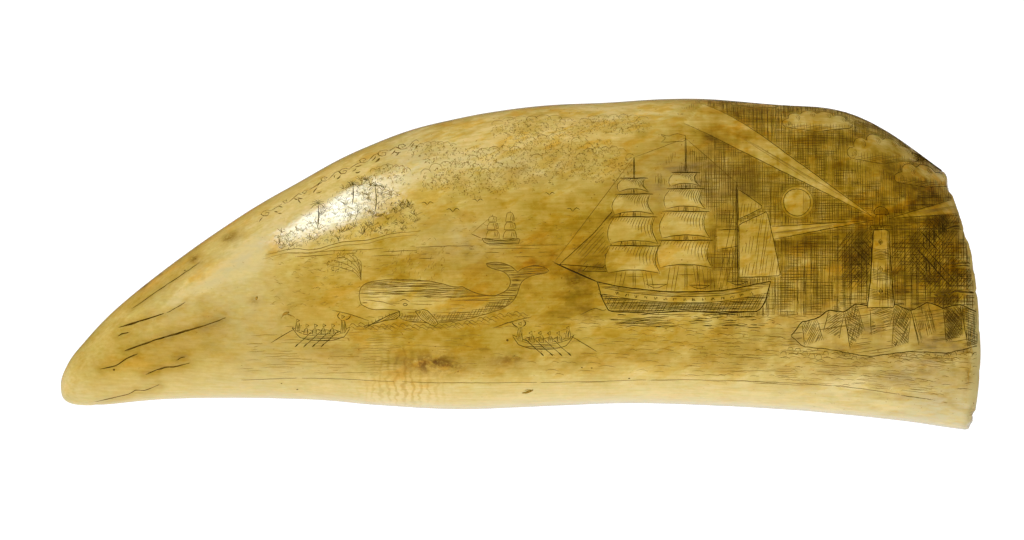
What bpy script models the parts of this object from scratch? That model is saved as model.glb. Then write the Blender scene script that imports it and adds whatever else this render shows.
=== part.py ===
"""Scrimshaw whale tooth: one polished sperm whale tooth that lies on its flatter side.

Metres, +Z up. The tooth lies along X with its tip towards -X, its hollow root towards +X and
its convex edge towards +Y. The engraved side looks up. The origin is under the middle of its
box, on the small flat that wear has left under its belly.
"""

import bmesh
import bpy
import numpy as np

MM = 0.001

# Driving dimensions, in millimetres.
BELLY_THICKNESS = 41.0  # at the thickest place, before the underside is worn flat
REST_WEAR = 1.1  # how deep the underside is worn where the tooth lies
TIP_SINK = 3.5  # how far the middle of the tip lies below the middle of the belly
ROOT_BULGE = 3.4  # how far the middle of the root stands out past its two corners
RIM_ROUND = 0.9  # the worn corner between the outside and the root face
FACE_DISH = 1.6  # how far the root face sinks towards the mouth of the pulp cavity
CAVITY_DEPTH = 46.0
CAVITY_HALF_WIDTH = 14.0  # at its mouth, along Y
CAVITY_HALF_HEIGHT = 9.5  # at its mouth, along Z
CAVITY_LEAN = 8.0  # how far the cavity's end lies towards the convex edge
RIDGE_HEIGHT = 0.6  # the soft ridge on the upper flank near the tip
RIDGE_ANGLE = 1.0  # where the ridge lies round the section, in radians up from +Y
RIDGE_WIDTH = 0.2

# The outline from above, from the root's lower corner round the tip to its upper corner.
OUTLINE = (
    (82.1, -30.6),
    (66.5, -28.5),
    (48.0, -26.8),
    (24.0, -25.7),
    (7.3, -26.1),
    (-11.0, -26.8),
    (-26.0, -26.1),
    (-37.1, -25.1),
    (-51.9, -24.7),
    (-66.7, -25.0),
    (-78.5, -26.1),
    (-83.9, -25.4),
    (-85.0, -22.3),
    (-83.9, -18.9),
    (-81.3, -15.2),
    (-74.1, -7.7),
    (-59.3, 3.8),
    (-43.0, 14.3),
    (-29.0, 21.5),
    (-14.0, 26.6),
    (7.3, 29.7),
    (29.5, 30.6),
    (48.0, 29.4),
    (58.5, 28.4),
    (67.0, 24.8),
    (77.9, 17.2),
)

# Share of the way from tip to root, thickness over width, squareness of the section.
SECTIONS = (
    (0.00, 0.88, 2.00),
    (0.15, 0.80, 2.05),
    (0.40, 0.71, 2.20),
    (0.70, 0.725, 2.25),
    (0.88, 0.69, 2.25),
    (1.00, 0.73, 2.15),
)

# Mesh density.
RINGS_OUTSIDE = 54
RINGS_CAVITY = 10
POINTS_ROUND = 56


def smooth_curve(points, steps=24):
    """A Catmull-Rom curve through the points, as an array of rows."""
    p = np.array(points, float)
    ends = np.vstack([2 * p[0] - p[1], p, 2 * p[-1] - p[-2]])
    t = np.linspace(0, 1, steps, endpoint=False)[:, None]
    spans = []
    for a, b, c, d in zip(ends, ends[1:], ends[2:], ends[3:]):
        cubic = (3 * (b - c) - a + d) * t**3
        spans.append(b + ((c - a) * t + (2 * a - 5 * b + 4 * c - d) * t**2 + cubic) / 2)
    return np.vstack(spans + [p[-1:]])


def smooth_step(t):
    t = np.clip(t, 0, 1)
    return t * t * (3 - 2 * t)


OUTLINE_CURVE = smooth_curve(OUTLINE)
TIP_ROW = OUTLINE_CURVE[:, 0].argmin()
LOWER_EDGE = OUTLINE_CURVE[TIP_ROW::-1]
UPPER_EDGE = OUTLINE_CURVE[TIP_ROW:]
SECTION_CURVE = smooth_curve(SECTIONS)


def edge_point(edge, share):
    """The point of an edge at this share of the way from the tip to its root end."""
    x = edge[0, 0] + share * (edge[-1, 0] - edge[0, 0])
    return np.array([x, np.interp(x, edge[:, 0], edge[:, 1])])


def outside_ring(share, angles, shrink=0.0):
    """Points round the outside at this share. Shrink takes them in towards the middle."""
    low, high = edge_point(LOWER_EDGE, share), edge_point(UPPER_EDGE, share)
    ratio = np.interp(share, SECTION_CURVE[:, 0], SECTION_CURVE[:, 1])
    square = np.interp(share, SECTION_CURVE[:, 0], SECTION_CURVE[:, 2])
    half_width = np.linalg.norm(high - low) / 2
    middle = BELLY_THICKNESS / 2 - REST_WEAR - TIP_SINK * (1 - share) ** 2

    across, up = np.cos(angles), np.sin(angles)
    radius = (abs(across) ** square + abs(up) ** square) ** (-1 / square)
    fades = smooth_step(share / 0.10) * smooth_step((0.46 - share) / 0.30)
    ridge = RIDGE_HEIGHT * fades * np.exp(-(((angles - RIDGE_ANGLE) / RIDGE_WIDTH) ** 2))
    radius = radius * (1 + (ridge - shrink) / max(half_width, 1.0))

    place = across * radius
    plan = (low + high) / 2 + np.outer(place, (high - low) / 2)
    plan[:, 0] += smooth_step((share - 0.86) / 0.14) * face_bulge(place)
    return np.column_stack([plan, middle + ratio * half_width * up * radius])


def face_bulge(place):
    """How far the root face stands out. Place runs from its lower corner, -1, to its upper, 1."""
    worn = 0.75 + 0.6 * np.clip(place, 0, 1)  # the upper corner is worn down more
    return ROOT_BULGE * np.clip(1 - place**2, 0, 1) ** worn


def root_face_x(y):
    """X on the root face at this Y."""
    low, high = LOWER_EDGE[-1], UPPER_EDGE[-1]
    place = (2 * y - low[1] - high[1]) / (high[1] - low[1])
    return (low[0] + high[0]) / 2 + (high[0] - low[0]) / 2 * place + face_bulge(place) + RIM_ROUND


def cavity_ring(depth, angles):
    """Points round the pulp cavity at this share of its depth, where 1 is its closed end."""
    size = (1 - depth**1.25) ** 0.9
    start = (LOWER_EDGE[-1, 1] + UPPER_EDGE[-1, 1]) / 2
    y = start + CAVITY_LEAN * depth + CAVITY_HALF_WIDTH * size * np.cos(angles)
    z = BELLY_THICKNESS / 2 - REST_WEAR + CAVITY_HALF_HEIGHT * size * np.sin(angles)
    flat_x, face_x = root_face_x(start), root_face_x(y)
    x = face_x + (flat_x - face_x) * depth - FACE_DISH - CAVITY_DEPTH * depth
    return np.column_stack([x, y, z])


def face_ring(part, angles):
    """A ring of the root face: part 0 is its worn outer corner and 1 the cavity's mouth."""
    corner = outside_ring(1.0, angles, RIM_ROUND)
    ring = corner + (cavity_ring(0.0, angles) - corner) * part
    ring[:, 0] = root_face_x(ring[:, 1]) - FACE_DISH * smooth_step(part)
    return ring


def tooth_rings():
    """The rings of the surface, from the tip over the root face to the cavity's end."""
    angles = np.linspace(0, 2 * np.pi, POINTS_ROUND, endpoint=False)
    steps = np.arange(1, RINGS_OUTSIDE + 1) / RINGS_OUTSIDE
    shares = steps**2 / (steps**2 + (1 - steps) * (0.25 + 1.1 * steps))  # close at the tip
    rings = [outside_ring(share, angles) for share in shares]
    rings += [face_ring(part, angles) for part in (0.0, 0.5, 1.0)]
    depths = np.arange(1, RINGS_CAVITY) / RINGS_CAVITY
    rings += [cavity_ring(depth, angles) for depth in depths]
    return rings


def join_rings(bm, rings, first, last):
    """Faces between neighbouring rings, closed by one point before and one after them."""
    loops = [[bm.verts.new(p) for p in ring] for ring in rings]
    for a, b in zip(loops, loops[1:]):
        for i in range(POINTS_ROUND):
            j = (i + 1) % POINTS_ROUND
            bm.faces.new((a[i], a[j], b[j], b[i]))
    for point, loop in ((first, loops[0]), (last, loops[-1])):
        middle = bm.verts.new(point)
        for i in range(POINTS_ROUND):
            bm.faces.new((middle, loop[i], loop[(i + 1) % POINTS_ROUND]))
    bmesh.ops.recalc_face_normals(bm, faces=bm.faces)


def wear_flat(bm):
    """Cuts off what lies below Z = 0 and closes the cut with one flat face."""
    cut = bmesh.ops.bisect_plane(
        bm,
        geom=bm.verts[:] + bm.edges[:] + bm.faces[:],
        dist=1e-7,
        plane_co=(0, 0, 0),
        plane_no=(0, 0, -1),
        clear_outer=True,
    )
    edges = [e for e in cut["geom_cut"] if isinstance(e, bmesh.types.BMEdge)]
    bmesh.ops.contextual_create(bm, geom=edges)
    bmesh.ops.recalc_face_normals(bm, faces=bm.faces)


def ivory_material():
    material = bpy.data.materials.new("polished_ivory")
    material.use_nodes = True
    shader = material.node_tree.nodes["Principled BSDF"]
    shader.inputs["Base Color"].default_value = (0.60, 0.42, 0.17, 1.0)
    shader.inputs["Roughness"].default_value = 0.3
    shader.inputs["Metallic"].default_value = 0.0
    return material


def make_tooth(collection):
    rings = tooth_rings()
    tip = edge_point(LOWER_EDGE, 0.0)
    first = np.append(tip, BELLY_THICKNESS / 2 - REST_WEAR - TIP_SINK)
    last = cavity_ring(1.0, np.zeros(1))[0]
    points = np.vstack(rings + [first])
    middle = (points.min(axis=0) + points.max(axis=0)) / 2
    origin = np.array([middle[0], middle[1], 0])
    placed = [(ring - origin) * MM for ring in rings]
    bm = bmesh.new()
    join_rings(bm, placed, (first - origin) * MM, (last - origin) * MM)
    wear_flat(bm)
    mesh = bpy.data.meshes.new("whale_tooth")
    bm.to_mesh(mesh)
    bm.free()
    mesh.shade_smooth()
    mesh.materials.append(ivory_material())
    tooth = bpy.data.objects.new("whale_tooth", mesh)
    collection.objects.link(tooth)


def main():
    for obj in list(bpy.data.objects):
        bpy.data.objects.remove(obj, do_unlink=True)
    collection = bpy.data.collections.new("scrimshaw_whale_tooth")
    bpy.context.scene.collection.children.link(collection)
    make_tooth(collection)


main()
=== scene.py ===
"""The looks of the scrimshaw whale tooth: its fine surface, age and engraving.

Lengths are in millimetres in the tooth's own plan, with X from tip to root and Y towards its
convex edge. They become metres only where a mesh is made.
"""

import math

import bpy
import numpy as np
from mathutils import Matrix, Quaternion, Vector


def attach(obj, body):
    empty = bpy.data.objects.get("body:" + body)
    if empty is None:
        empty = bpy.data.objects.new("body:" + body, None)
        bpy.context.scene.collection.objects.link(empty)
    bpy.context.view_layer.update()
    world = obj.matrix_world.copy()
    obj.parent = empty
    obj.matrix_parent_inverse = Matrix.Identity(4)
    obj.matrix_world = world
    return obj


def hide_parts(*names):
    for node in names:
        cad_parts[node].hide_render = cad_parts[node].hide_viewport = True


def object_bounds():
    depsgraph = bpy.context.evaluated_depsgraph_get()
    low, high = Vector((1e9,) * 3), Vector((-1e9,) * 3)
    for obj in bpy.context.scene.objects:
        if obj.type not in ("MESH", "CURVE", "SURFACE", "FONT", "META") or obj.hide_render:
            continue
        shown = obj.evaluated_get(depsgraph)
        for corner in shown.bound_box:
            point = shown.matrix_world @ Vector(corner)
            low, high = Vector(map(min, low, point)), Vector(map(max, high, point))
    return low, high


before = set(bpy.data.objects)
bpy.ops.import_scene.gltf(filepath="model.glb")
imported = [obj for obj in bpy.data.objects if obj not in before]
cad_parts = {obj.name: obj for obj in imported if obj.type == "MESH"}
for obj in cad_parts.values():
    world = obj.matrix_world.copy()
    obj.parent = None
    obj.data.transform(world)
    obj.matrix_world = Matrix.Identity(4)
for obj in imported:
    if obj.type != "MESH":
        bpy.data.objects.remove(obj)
CAD_LOW, CAD_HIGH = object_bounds()

MM = 0.001
TOOTH = "whale_tooth"

# The tooth's form: the same driving dimensions as its solid.
HALF_LENGTH = 85.0
BELLY_THICKNESS = 41.0
REST_WEAR = 1.1
TIP_SINK = 3.5
ROOT_BULGE = 3.4
BULGE_START = 0.86  # the share of the length from which the bulge is blended in
BULGE_RUN = 0.14
RIM_ROUND = 0.9
FACE_DISH = 1.6
CAVITY_DEPTH = 46.0
CAVITY_HALF_WIDTH = 14.0
CAVITY_HALF_HEIGHT = 9.5
CAVITY_LEAN = 8.0
RIDGE_HEIGHT = 0.6
RIDGE_ANGLE = 1.0
RIDGE_WIDTH = 0.2
RIDGE_RISE = 0.10  # shares of the length: where the ridge has its full height, ends and starts to sink
RIDGE_END = 0.46
RIDGE_FALL = 0.30

OUTLINE = (
    (82.1, -30.6), (66.5, -28.5), (48, -26.8), (24, -25.7), (7.3, -26.1), (-11, -26.8),
    (-26, -26.1), (-37.1, -25.1), (-51.9, -24.7), (-66.7, -25), (-78.5, -26.1), (-83.9, -25.4),
    (-85, -22.3), (-83.9, -18.9), (-81.3, -15.2), (-74.1, -7.7), (-59.3, 3.8), (-43, 14.3),
    (-29, 21.5), (-14, 26.6), (7.3, 29.7), (29.5, 30.6), (48, 29.4), (58.5, 28.4),
    (67, 24.8), (77.9, 17.2),
)
SECTIONS = (
    (0.00, 0.88, 2.00),
    (0.15, 0.80, 2.05),
    (0.40, 0.71, 2.20),
    (0.70, 0.725, 2.25),
    (0.88, 0.69, 2.25),
    (1.00, 0.73, 2.15),
)

# Where the mesh is moved to, so that the origin is under the middle of its box.
ORIGIN = np.array([-0.14, 0.0, 0.0])

UNEVEN = 0.22  # how far the polished surface swells and sinks
UNEVEN_FINE = 0.03

EDGE_HOLLOWS = ((-41, 6, 0.3), (-13, 8, 0.25), (16, 9, 0.5))  # place, half-length, depth
EDGE_HOLLOW_WIDTH = 6.0

# The root's end: (place across, half-width, depth) of the chips in its upper rim.
ROOT_CORNER_WEAR = 0.8
ROOT_END = 84.0
ROOT_WEAR_REACH = 9.0
ROOT_CHIPS = (
    (14.2, 1.2, 0.9),
    (-5.2, 0.4, 0.2),
    (-8, 9, 0.4),
    (-23, 6, 0.3),
    (-27.6, 0.5, 0.3),
    (-29.8, 0.5, 0.3),
)

# Age cracks: (greatest width, points on the plan).
TIP_CRACKS = (
    (0.34, ((-74.2, -11.7), (-69.5, -10.3), (-65.8, -9.1))),
    (0.14, ((-65.4, -9), (-63.9, -8.3), (-61.8, -7))),
    (0.40, ((-73, -16), (-68.2, -14.3), (-62.3, -12.5), (-58.3, -11.4), (-54.3, -9.9))),
    (0.26, ((-77.6, -19.4), (-74.6, -18.7), (-72.6, -17.4), (-70.6, -16.6))),
    (0.24, ((-69.2, -20.4), (-65.8, -19.2), (-63.5, -19), (-61, -18.3))),
    (0.20, ((-63.5, -17.8), (-62.6, -17.3), (-61.8, -17.2))),
    (0.24, ((-78.6, -25.9), (-75.4, -25.1), (-72.4, -24.3), (-71, -23.4), (-69.4, -23.6), (-66.6, -22.4))),
    (0.26, ((-72, -8.1), (-67.3, -4.9), (-62.1, -1.4), (-59.2, 0.6))),
    (0.30, ((-74.3, -13.3), (-73.4, -12.8), (-72.3, -12.6))),
)
ROOT_CRACKS = (
    (0.34, ((78.2, 6.5), (79.8, 7), (81.8, 6.8))),
    (0.22, ((78.4, -0.6), (80.8, -0.3), (83.6, -0.6))),
    (0.16, ((69.8, -24.3), (74, -24.9), (78, -25.3), (81.5, -26.3), (84.4, -26.7))),
    (0.52, ((75.7, -5.7), (78.4, -5.6), (79.7, -5), (81.8, -5.2), (84.6, -5.2))),
)
CRACK_DEPTH = 0.14
CRACK_HALF_WIDTH = 0.45
CRACK_REACH = 1.5

# Mesh density.
RINGS_OUTSIDE = 420
COLUMNS_TOP = 132
COLUMNS_UNDER = 68
RINGS_RIM = 4
RINGS_FACE = 14
RINGS_CAVITY = 24


# ---------------------------------------------------------------- curves and noise


def smooth_curve(points, steps=24):
    """A Catmull-Rom curve through the points, as an array of rows."""
    p = np.array(points, float)
    ends = np.vstack([2 * p[0] - p[1], p, 2 * p[-1] - p[-2]])
    t = np.linspace(0, 1, steps, endpoint=False)[:, None]
    spans = []
    for a, b, c, d in zip(ends, ends[1:], ends[2:], ends[3:]):
        cubic = (3 * (b - c) - a + d) * t**3
        spans.append(b + ((c - a) * t + (2 * a - 5 * b + 4 * c - d) * t**2 + cubic) / 2)
    return np.vstack(spans + [p[-1:]])


def smooth_step(t, low=0.0, high=1.0):
    """Climbs from 0 at low to 1 at high."""
    t = np.clip((t - low) / (high - low), 0, 1)
    return t * t * (3 - 2 * t)


def fall(t, low, high):
    """Sinks from 1 at low to 0 at high."""
    return 1 - smooth_step(t, low, high)


def bell(t, half):
    """1 at 0, and near 0 from twice the half-width on."""
    return np.exp(-((t / half) ** 2))


HASH_FACTORS = np.array([73856093, 19349663, 83492791])  # one for each axis


def noise(points, size, seed):
    """Smooth noise from 0 to 1 at each point. Size is that of a blob, one number or one per axis."""
    q = np.asarray(points, float) / size + seed * 17.3
    cell = np.floor(q).astype(np.int64)
    part = q - cell
    part = part * part * (3 - 2 * part)
    total = 0.0
    axes = q.shape[-1]
    for corner in range(2**axes):
        offset = np.array([(corner >> k) & 1 for k in range(axes)])
        key = ((cell + offset) * HASH_FACTORS[:axes]).sum(axis=-1) + seed * 2654435761
        key = (key ^ (key >> 13)) * 1274126177
        value = ((key ^ (key >> 16)) & 0xFFFF) / 0xFFFF
        total = total + value * np.prod(np.where(offset, part, 1 - part), axis=-1)
    return total


def cloud(points, size, seed, octaves):
    """Several sizes of noise added up, from 0 to 1."""
    size = np.asarray(size, float)
    total = sum(noise(points, size / 2**k, seed + k) / 2**k for k in range(octaves))
    return total / (2 - 2 ** (1 - octaves))


def sway(points, size, seed, octaves):
    """The same, from -0.5 to 0.5."""
    return cloud(points, size, seed, octaves) - 0.5


# ---------------------------------------------------------------- the tooth's form

OUTLINE_CURVE = smooth_curve(OUTLINE)
TIP_ROW = OUTLINE_CURVE[:, 0].argmin()
LOWER_EDGE = OUTLINE_CURVE[TIP_ROW::-1]
UPPER_EDGE = OUTLINE_CURVE[TIP_ROW:]
SECTION_CURVE = smooth_curve(SECTIONS)


def height_on(curve, x, column=1):
    """What a curve says at x, from its rows in the order of X."""
    return np.interp(x, curve[:, 0], curve[:, column])


def edge_point(edge, share):
    x = edge[0, 0] + share * (edge[-1, 0] - edge[0, 0])
    return np.stack([x, height_on(edge, x)], axis=-1)


def core_height(share):
    """The height of the tooth's middle, which sinks towards the tip."""
    return BELLY_THICKNESS / 2 - REST_WEAR - TIP_SINK * (1 - share) ** 2


def face_bulge(place):
    """How far the root's end stands out, from -1 at the lower edge to 1 at the upper, worn one."""
    worn = 0.75 + 0.6 * np.clip(place, 0, 1)
    return ROOT_BULGE * np.clip(1 - place**2, 0, 1) ** worn


def outside(share, angle, shrink=0.0):
    """Points of the outside, from arrays of shares along the tooth and angles round it."""
    share, angle = np.broadcast_arrays(share, angle)
    low, high = edge_point(LOWER_EDGE, share), edge_point(UPPER_EDGE, share)
    ratio, square = height_on(SECTION_CURVE, share), height_on(SECTION_CURVE, share, 2)
    half_width = np.linalg.norm(high - low, axis=-1) / 2

    across, up = np.cos(angle), np.sin(angle)
    radius = (abs(across) ** square + abs(up) ** square) ** (-1 / square)
    fades = smooth_step(share / RIDGE_RISE) * smooth_step((RIDGE_END - share) / RIDGE_FALL)
    ridge = RIDGE_HEIGHT * fades * bell(angle - RIDGE_ANGLE, RIDGE_WIDTH)
    radius = radius * (1 + (ridge - shrink) / np.maximum(half_width, 1.0))

    place = across * radius
    plan = (low + high) / 2 + place[..., None] * (high - low) / 2
    plan[..., 0] += smooth_step((share - BULGE_START) / BULGE_RUN) * face_bulge(place)
    height = core_height(share) + ratio * half_width * up * radius
    return np.concatenate([plan, height[..., None]], axis=-1)


def root_face_x(y):
    low, high = LOWER_EDGE[-1], UPPER_EDGE[-1]
    place = (2 * y - low[1] - high[1]) / (high[1] - low[1])
    return (low[0] + high[0]) / 2 + (high[0] - low[0]) / 2 * place + face_bulge(place) + RIM_ROUND


def cavity_ring(depth, angles):
    """A ring of the pulp cavity, from depth 0 at its mouth to 1 at its end."""
    size = (1 - depth**1.25) ** 0.9
    start = (LOWER_EDGE[-1, 1] + UPPER_EDGE[-1, 1]) / 2
    y = start + CAVITY_LEAN * depth + CAVITY_HALF_WIDTH * size * np.cos(angles)
    z = core_height(1.0) + CAVITY_HALF_HEIGHT * size * np.sin(angles)
    flat_x, face_x = root_face_x(start), root_face_x(y)
    x = face_x + (flat_x - face_x) * depth - FACE_DISH - CAVITY_DEPTH * depth
    return np.column_stack([x, y, z])


def ring_shares():
    """Shares along the tooth, close together at the tip."""
    t = np.arange(1, RINGS_OUTSIDE + 1) / RINGS_OUTSIDE
    return t**2 / (t**2 + (1 - t) * (0.08 + 1.02 * t))


SHARES = ring_shares()
ANGLES = np.append(
    np.linspace(0, np.pi, COLUMNS_TOP, endpoint=False),
    np.linspace(np.pi, 2 * np.pi, COLUMNS_UNDER, endpoint=False),
)


def surface_normal(share, angle):
    """Outward normals of the smooth outside, from points a little further on."""
    step = 0.002
    ahead = outside(np.minimum(share + step, 1.0), angle) - outside(np.maximum(share - step, 0.0), angle)
    around = outside(share, angle + step) - outside(share, angle - step)
    normal = np.cross(around, ahead)
    return normal / np.maximum(np.linalg.norm(normal, axis=-1, keepdims=True), 1e-9)


def relief(points):
    """How far the real surface stands off the smooth form: hand polishing leaves it uneven."""
    return UNEVEN * sway(points, 15.0, 3, 2) + UNEVEN_FINE * sway(points, 3.5, 9, 2)


def distance_to_cracks(points, cracks, reach):
    """The distance on the plan to the nearest crack, no more than reach."""
    plan = points[..., :2]
    nearest = np.full(plan.shape[:-1], reach)
    for _, crack in cracks:
        for a, b in zip(np.array(crack), np.array(crack)[1:]):
            close = (np.abs(plan - (a + b) / 2) < np.abs(b - a) / 2 + reach).all(axis=-1)
            near = plan[close]
            along = np.clip(((near - a) @ (b - a)) / ((b - a) @ (b - a)), 0, 1)
            gap = np.linalg.norm(near - a - along[:, None] * (b - a), axis=-1)
            nearest[close] = np.minimum(nearest[close], gap)
    return nearest


def edge_wear(points):
    """Shallow hollows along the convex edge."""
    x, y = points[..., 0], points[..., 1]
    worn = sum(depth * bell(x - place, size) for place, size, depth in EDGE_HOLLOWS)
    return worn * fall(height_on(UPPER_EDGE, x) - y, 0.0, EDGE_HOLLOW_WIDTH)


def groove(points):
    """How deep the surface dips into its cracks."""
    gap = distance_to_cracks(points, TIP_CRACKS + ROOT_CRACKS, CRACK_REACH)
    return CRACK_DEPTH * bell(gap, CRACK_HALF_WIDTH) * smooth_step(points[..., 2], 10.0, 16.0)


def root_wear(points):
    """How far the root's end is worn or broken back, by place."""
    x, y, z = np.moveaxis(points, -1, 0)
    ragged = cloud(points, (6.0, 2.5, 2.5), 31, 3)
    top = np.maximum(smooth_step(z, 19.0, 30.0), smooth_step(-y, 21.0, 26.0))
    worn = ROOT_CORNER_WEAR * bell(y - 11.5, 9.0) * (0.8 + 0.5 * ragged) + 0.1
    worn = worn + 0.35 * smooth_step(ragged, 0.5, 0.8)
    for place, size, depth in ROOT_CHIPS:
        worn = worn + depth * top * np.exp(-(((y - place) / size) ** 4))
    return worn * smooth_step(x, ROOT_END - ROOT_WEAR_REACH - np.abs(y) * 0.25, ROOT_END)


def skin(share, angle):
    """(points, normals) of the uneven outside."""
    share, angle = np.broadcast_arrays(share, angle)
    points = outside(share, angle)
    normals = surface_normal(share, angle)
    points = points + normals * (relief(points) - groove(points) - edge_wear(points))[..., None]
    points[..., 2] = np.maximum(points[..., 2], 0.0)
    return points, normals


# ---------------------------------------------------------------- the picture plane
#
# The picture is drawn on a plane with X along the tooth and Y across it. On the broad side Y is
# the plan's own Y. Past the shoulders it runs on round the edge, so that a line wraps over it.

SHEET_STEP = 0.25
SHEET_X = np.arange(-84.5, 86.0, SHEET_STEP)
SHEET_Y = np.arange(-44.0, 46.0, SHEET_STEP)
WRAP_RATE = 0.8  # how fast Y grows with the length of the surface past the shoulders
SHEET_OVERLAP = 1.25  # how far round each edge the plane is laid, in radians
SHEET_COLUMNS = 240
WHOLE = 0.99  # a share from which a place counts as on the tooth


def lay_sheet():
    """Points and normals of the surface at each place of the picture plane, where it has one, and
    the plane's Y at each of the tooth's own shares and angles."""
    angles = np.linspace(-SHEET_OVERLAP, np.pi + SHEET_OVERLAP, SHEET_COLUMNS)
    points = outside(SHARES[:, None], angles[None, :])
    step = np.diff(points, axis=1)
    rate = np.maximum(-step[..., 1], WRAP_RATE * np.linalg.norm(step, axis=-1))
    run = np.concatenate([np.zeros((len(SHARES), 1)), np.cumsum(rate, axis=1)], axis=1)
    centre = np.abs(angles - np.pi / 2).argmin()
    sheet_y = points[:, centre, 1][:, None] + run[:, centre][:, None] - run
    angle_of = np.array([np.interp(SHEET_Y, y[::-1], angles[::-1]) for y in sheet_y])
    held = np.array([(SHEET_Y < y[0]) & (SHEET_Y > y[-1]) for y in sheet_y])
    x_of = outside(SHARES[:, None], angle_of)[..., 0]
    share = np.array([np.interp(SHEET_X, x, SHARES) for x in x_of.T])
    held = np.array([np.interp(SHEET_X, x, row) for x, row in zip(x_of.T, held.T)])
    held = (held > WHOLE) & (SHEET_X > x_of[0][:, None]) & (SHEET_X < x_of[-1][:, None])
    angle = np.array([np.interp(row, SHARES, turns) for row, turns in zip(share, angle_of.T)])
    points, normals = skin(share, angle)
    round_top = np.where(ANGLES > 1.5 * np.pi, ANGLES - 2 * np.pi, ANGLES)
    y_at = np.array([np.interp(round_top, angles, y, left=-99, right=-99) for y in sheet_y])
    return points, normals, held, y_at


def lay(xy, table):
    """Reads a table of the picture plane at each place, between its entries."""
    column = np.clip((xy[:, 0] - SHEET_X[0]) / SHEET_STEP, 0, len(SHEET_X) - 1.001)
    row = np.clip((xy[:, 1] - SHEET_Y[0]) / SHEET_STEP, 0, len(SHEET_Y) - 1.001)
    i, j = column.astype(int), row.astype(int)
    s, t = (column - i)[:, None], (row - j)[:, None]
    low = table[j, i] * (1 - s) + table[j, i + 1] * s
    high = table[j + 1, i] * (1 - s) + table[j + 1, i + 1] * s
    return low * (1 - t) + high * t


# ---------------------------------------------------------------- meshes


def make_mesh(name, points, quads, triangles):
    """A mesh object from points in millimetres."""
    quads = np.asarray(quads, np.int32).reshape(-1, 4)
    triangles = np.asarray(triangles, np.int32).reshape(-1, 3)
    corners = np.concatenate([quads.ravel(), triangles.ravel()])
    sizes = np.concatenate([np.full(len(quads), 4), np.full(len(triangles), 3)])
    mesh = bpy.data.meshes.new(name)
    mesh.vertices.add(len(points))
    mesh.vertices.foreach_set("co", ((points - ORIGIN) * MM).astype(np.float32).ravel())
    mesh.loops.add(len(corners))
    mesh.loops.foreach_set("vertex_index", corners)
    mesh.polygons.add(len(sizes))
    mesh.polygons.foreach_set("loop_start", (np.cumsum(sizes) - sizes).astype(np.int32))
    mesh.update(calc_edges=True)
    mesh.shade_smooth()
    piece = bpy.data.objects.new(name, mesh)
    bpy.context.scene.collection.objects.link(piece)
    return piece


def tooth_rings():
    """The surface's rings, and how far into the root each is: 0 outside, 1 at the cavity's mouth."""
    rings = list(skin(SHARES[:, None], ANGLES[None, :])[0])
    depths = [0.0] * len(rings)
    smooth_end = outside(1.0, ANGLES)
    for turn in np.linspace(0, np.pi / 2, RINGS_RIM + 1)[1:]:
        ring = outside(1.0, ANGLES, RIM_ROUND * (1 - math.cos(turn)))
        ring[:, 0] += RIM_ROUND * math.sin(turn)
        rings.append(ring + (rings[len(SHARES) - 1] - smooth_end))
        depths.append(0.3 * turn)
    corner, mouth = rings[-1], cavity_ring(0.0, ANGLES)
    for part in np.linspace(0, 1, RINGS_FACE + 1)[1:]:
        ring = corner + (mouth - corner) * part
        ring[:, 0] = root_face_x(ring[:, 1]) - FACE_DISH * smooth_step(part)
        rings.append(ring)
        depths.append(0.5 + 0.5 * part)
    for depth in np.linspace(0, 1, RINGS_CAVITY + 1)[1:-1]:
        rings.append(cavity_ring(depth, ANGLES))
        depths.append(1.0 + depth)
    rings = np.array(rings)
    fade = np.clip(2.0 - np.array(depths), 0, 1)[:, None]
    rings[..., 0] -= root_wear(rings) * fade
    return rings, np.array(depths)


def make_tooth():
    """(the piece, its points in millimetres, how far into the root each is)."""
    rings, depths = tooth_rings()
    rings[..., 2] = np.maximum(rings[..., 2], 0.0)
    count, columns = rings.shape[:2]
    first = np.append(edge_point(LOWER_EDGE, 0.0), core_height(0.0))
    last = cavity_ring(1.0, np.zeros(1))[0]
    points = np.vstack([rings.reshape(-1, 3), first, last])
    a = np.arange(columns)
    b = (a + 1) % columns
    start = np.arange(count - 1)[:, None] * columns
    quads = np.stack([start + a, start + b, start + columns + b, start + columns + a], axis=-1)
    end = (count - 1) * columns
    tip_fan = np.column_stack([np.full(columns, len(points) - 2), b, a])
    end_fan = np.column_stack([np.full(columns, len(points) - 1), end + a, end + b])
    piece = make_mesh("tooth", points, quads, np.vstack([tip_fan, end_fan]))
    return piece, points, np.append(np.repeat(depths, columns), [0.0, 2.0])


# ---------------------------------------------------------------- age, stains and painted light
#
# Soft-edged patches on the plan: (x, y, half-length, half-width, turn in degrees, change).

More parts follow.
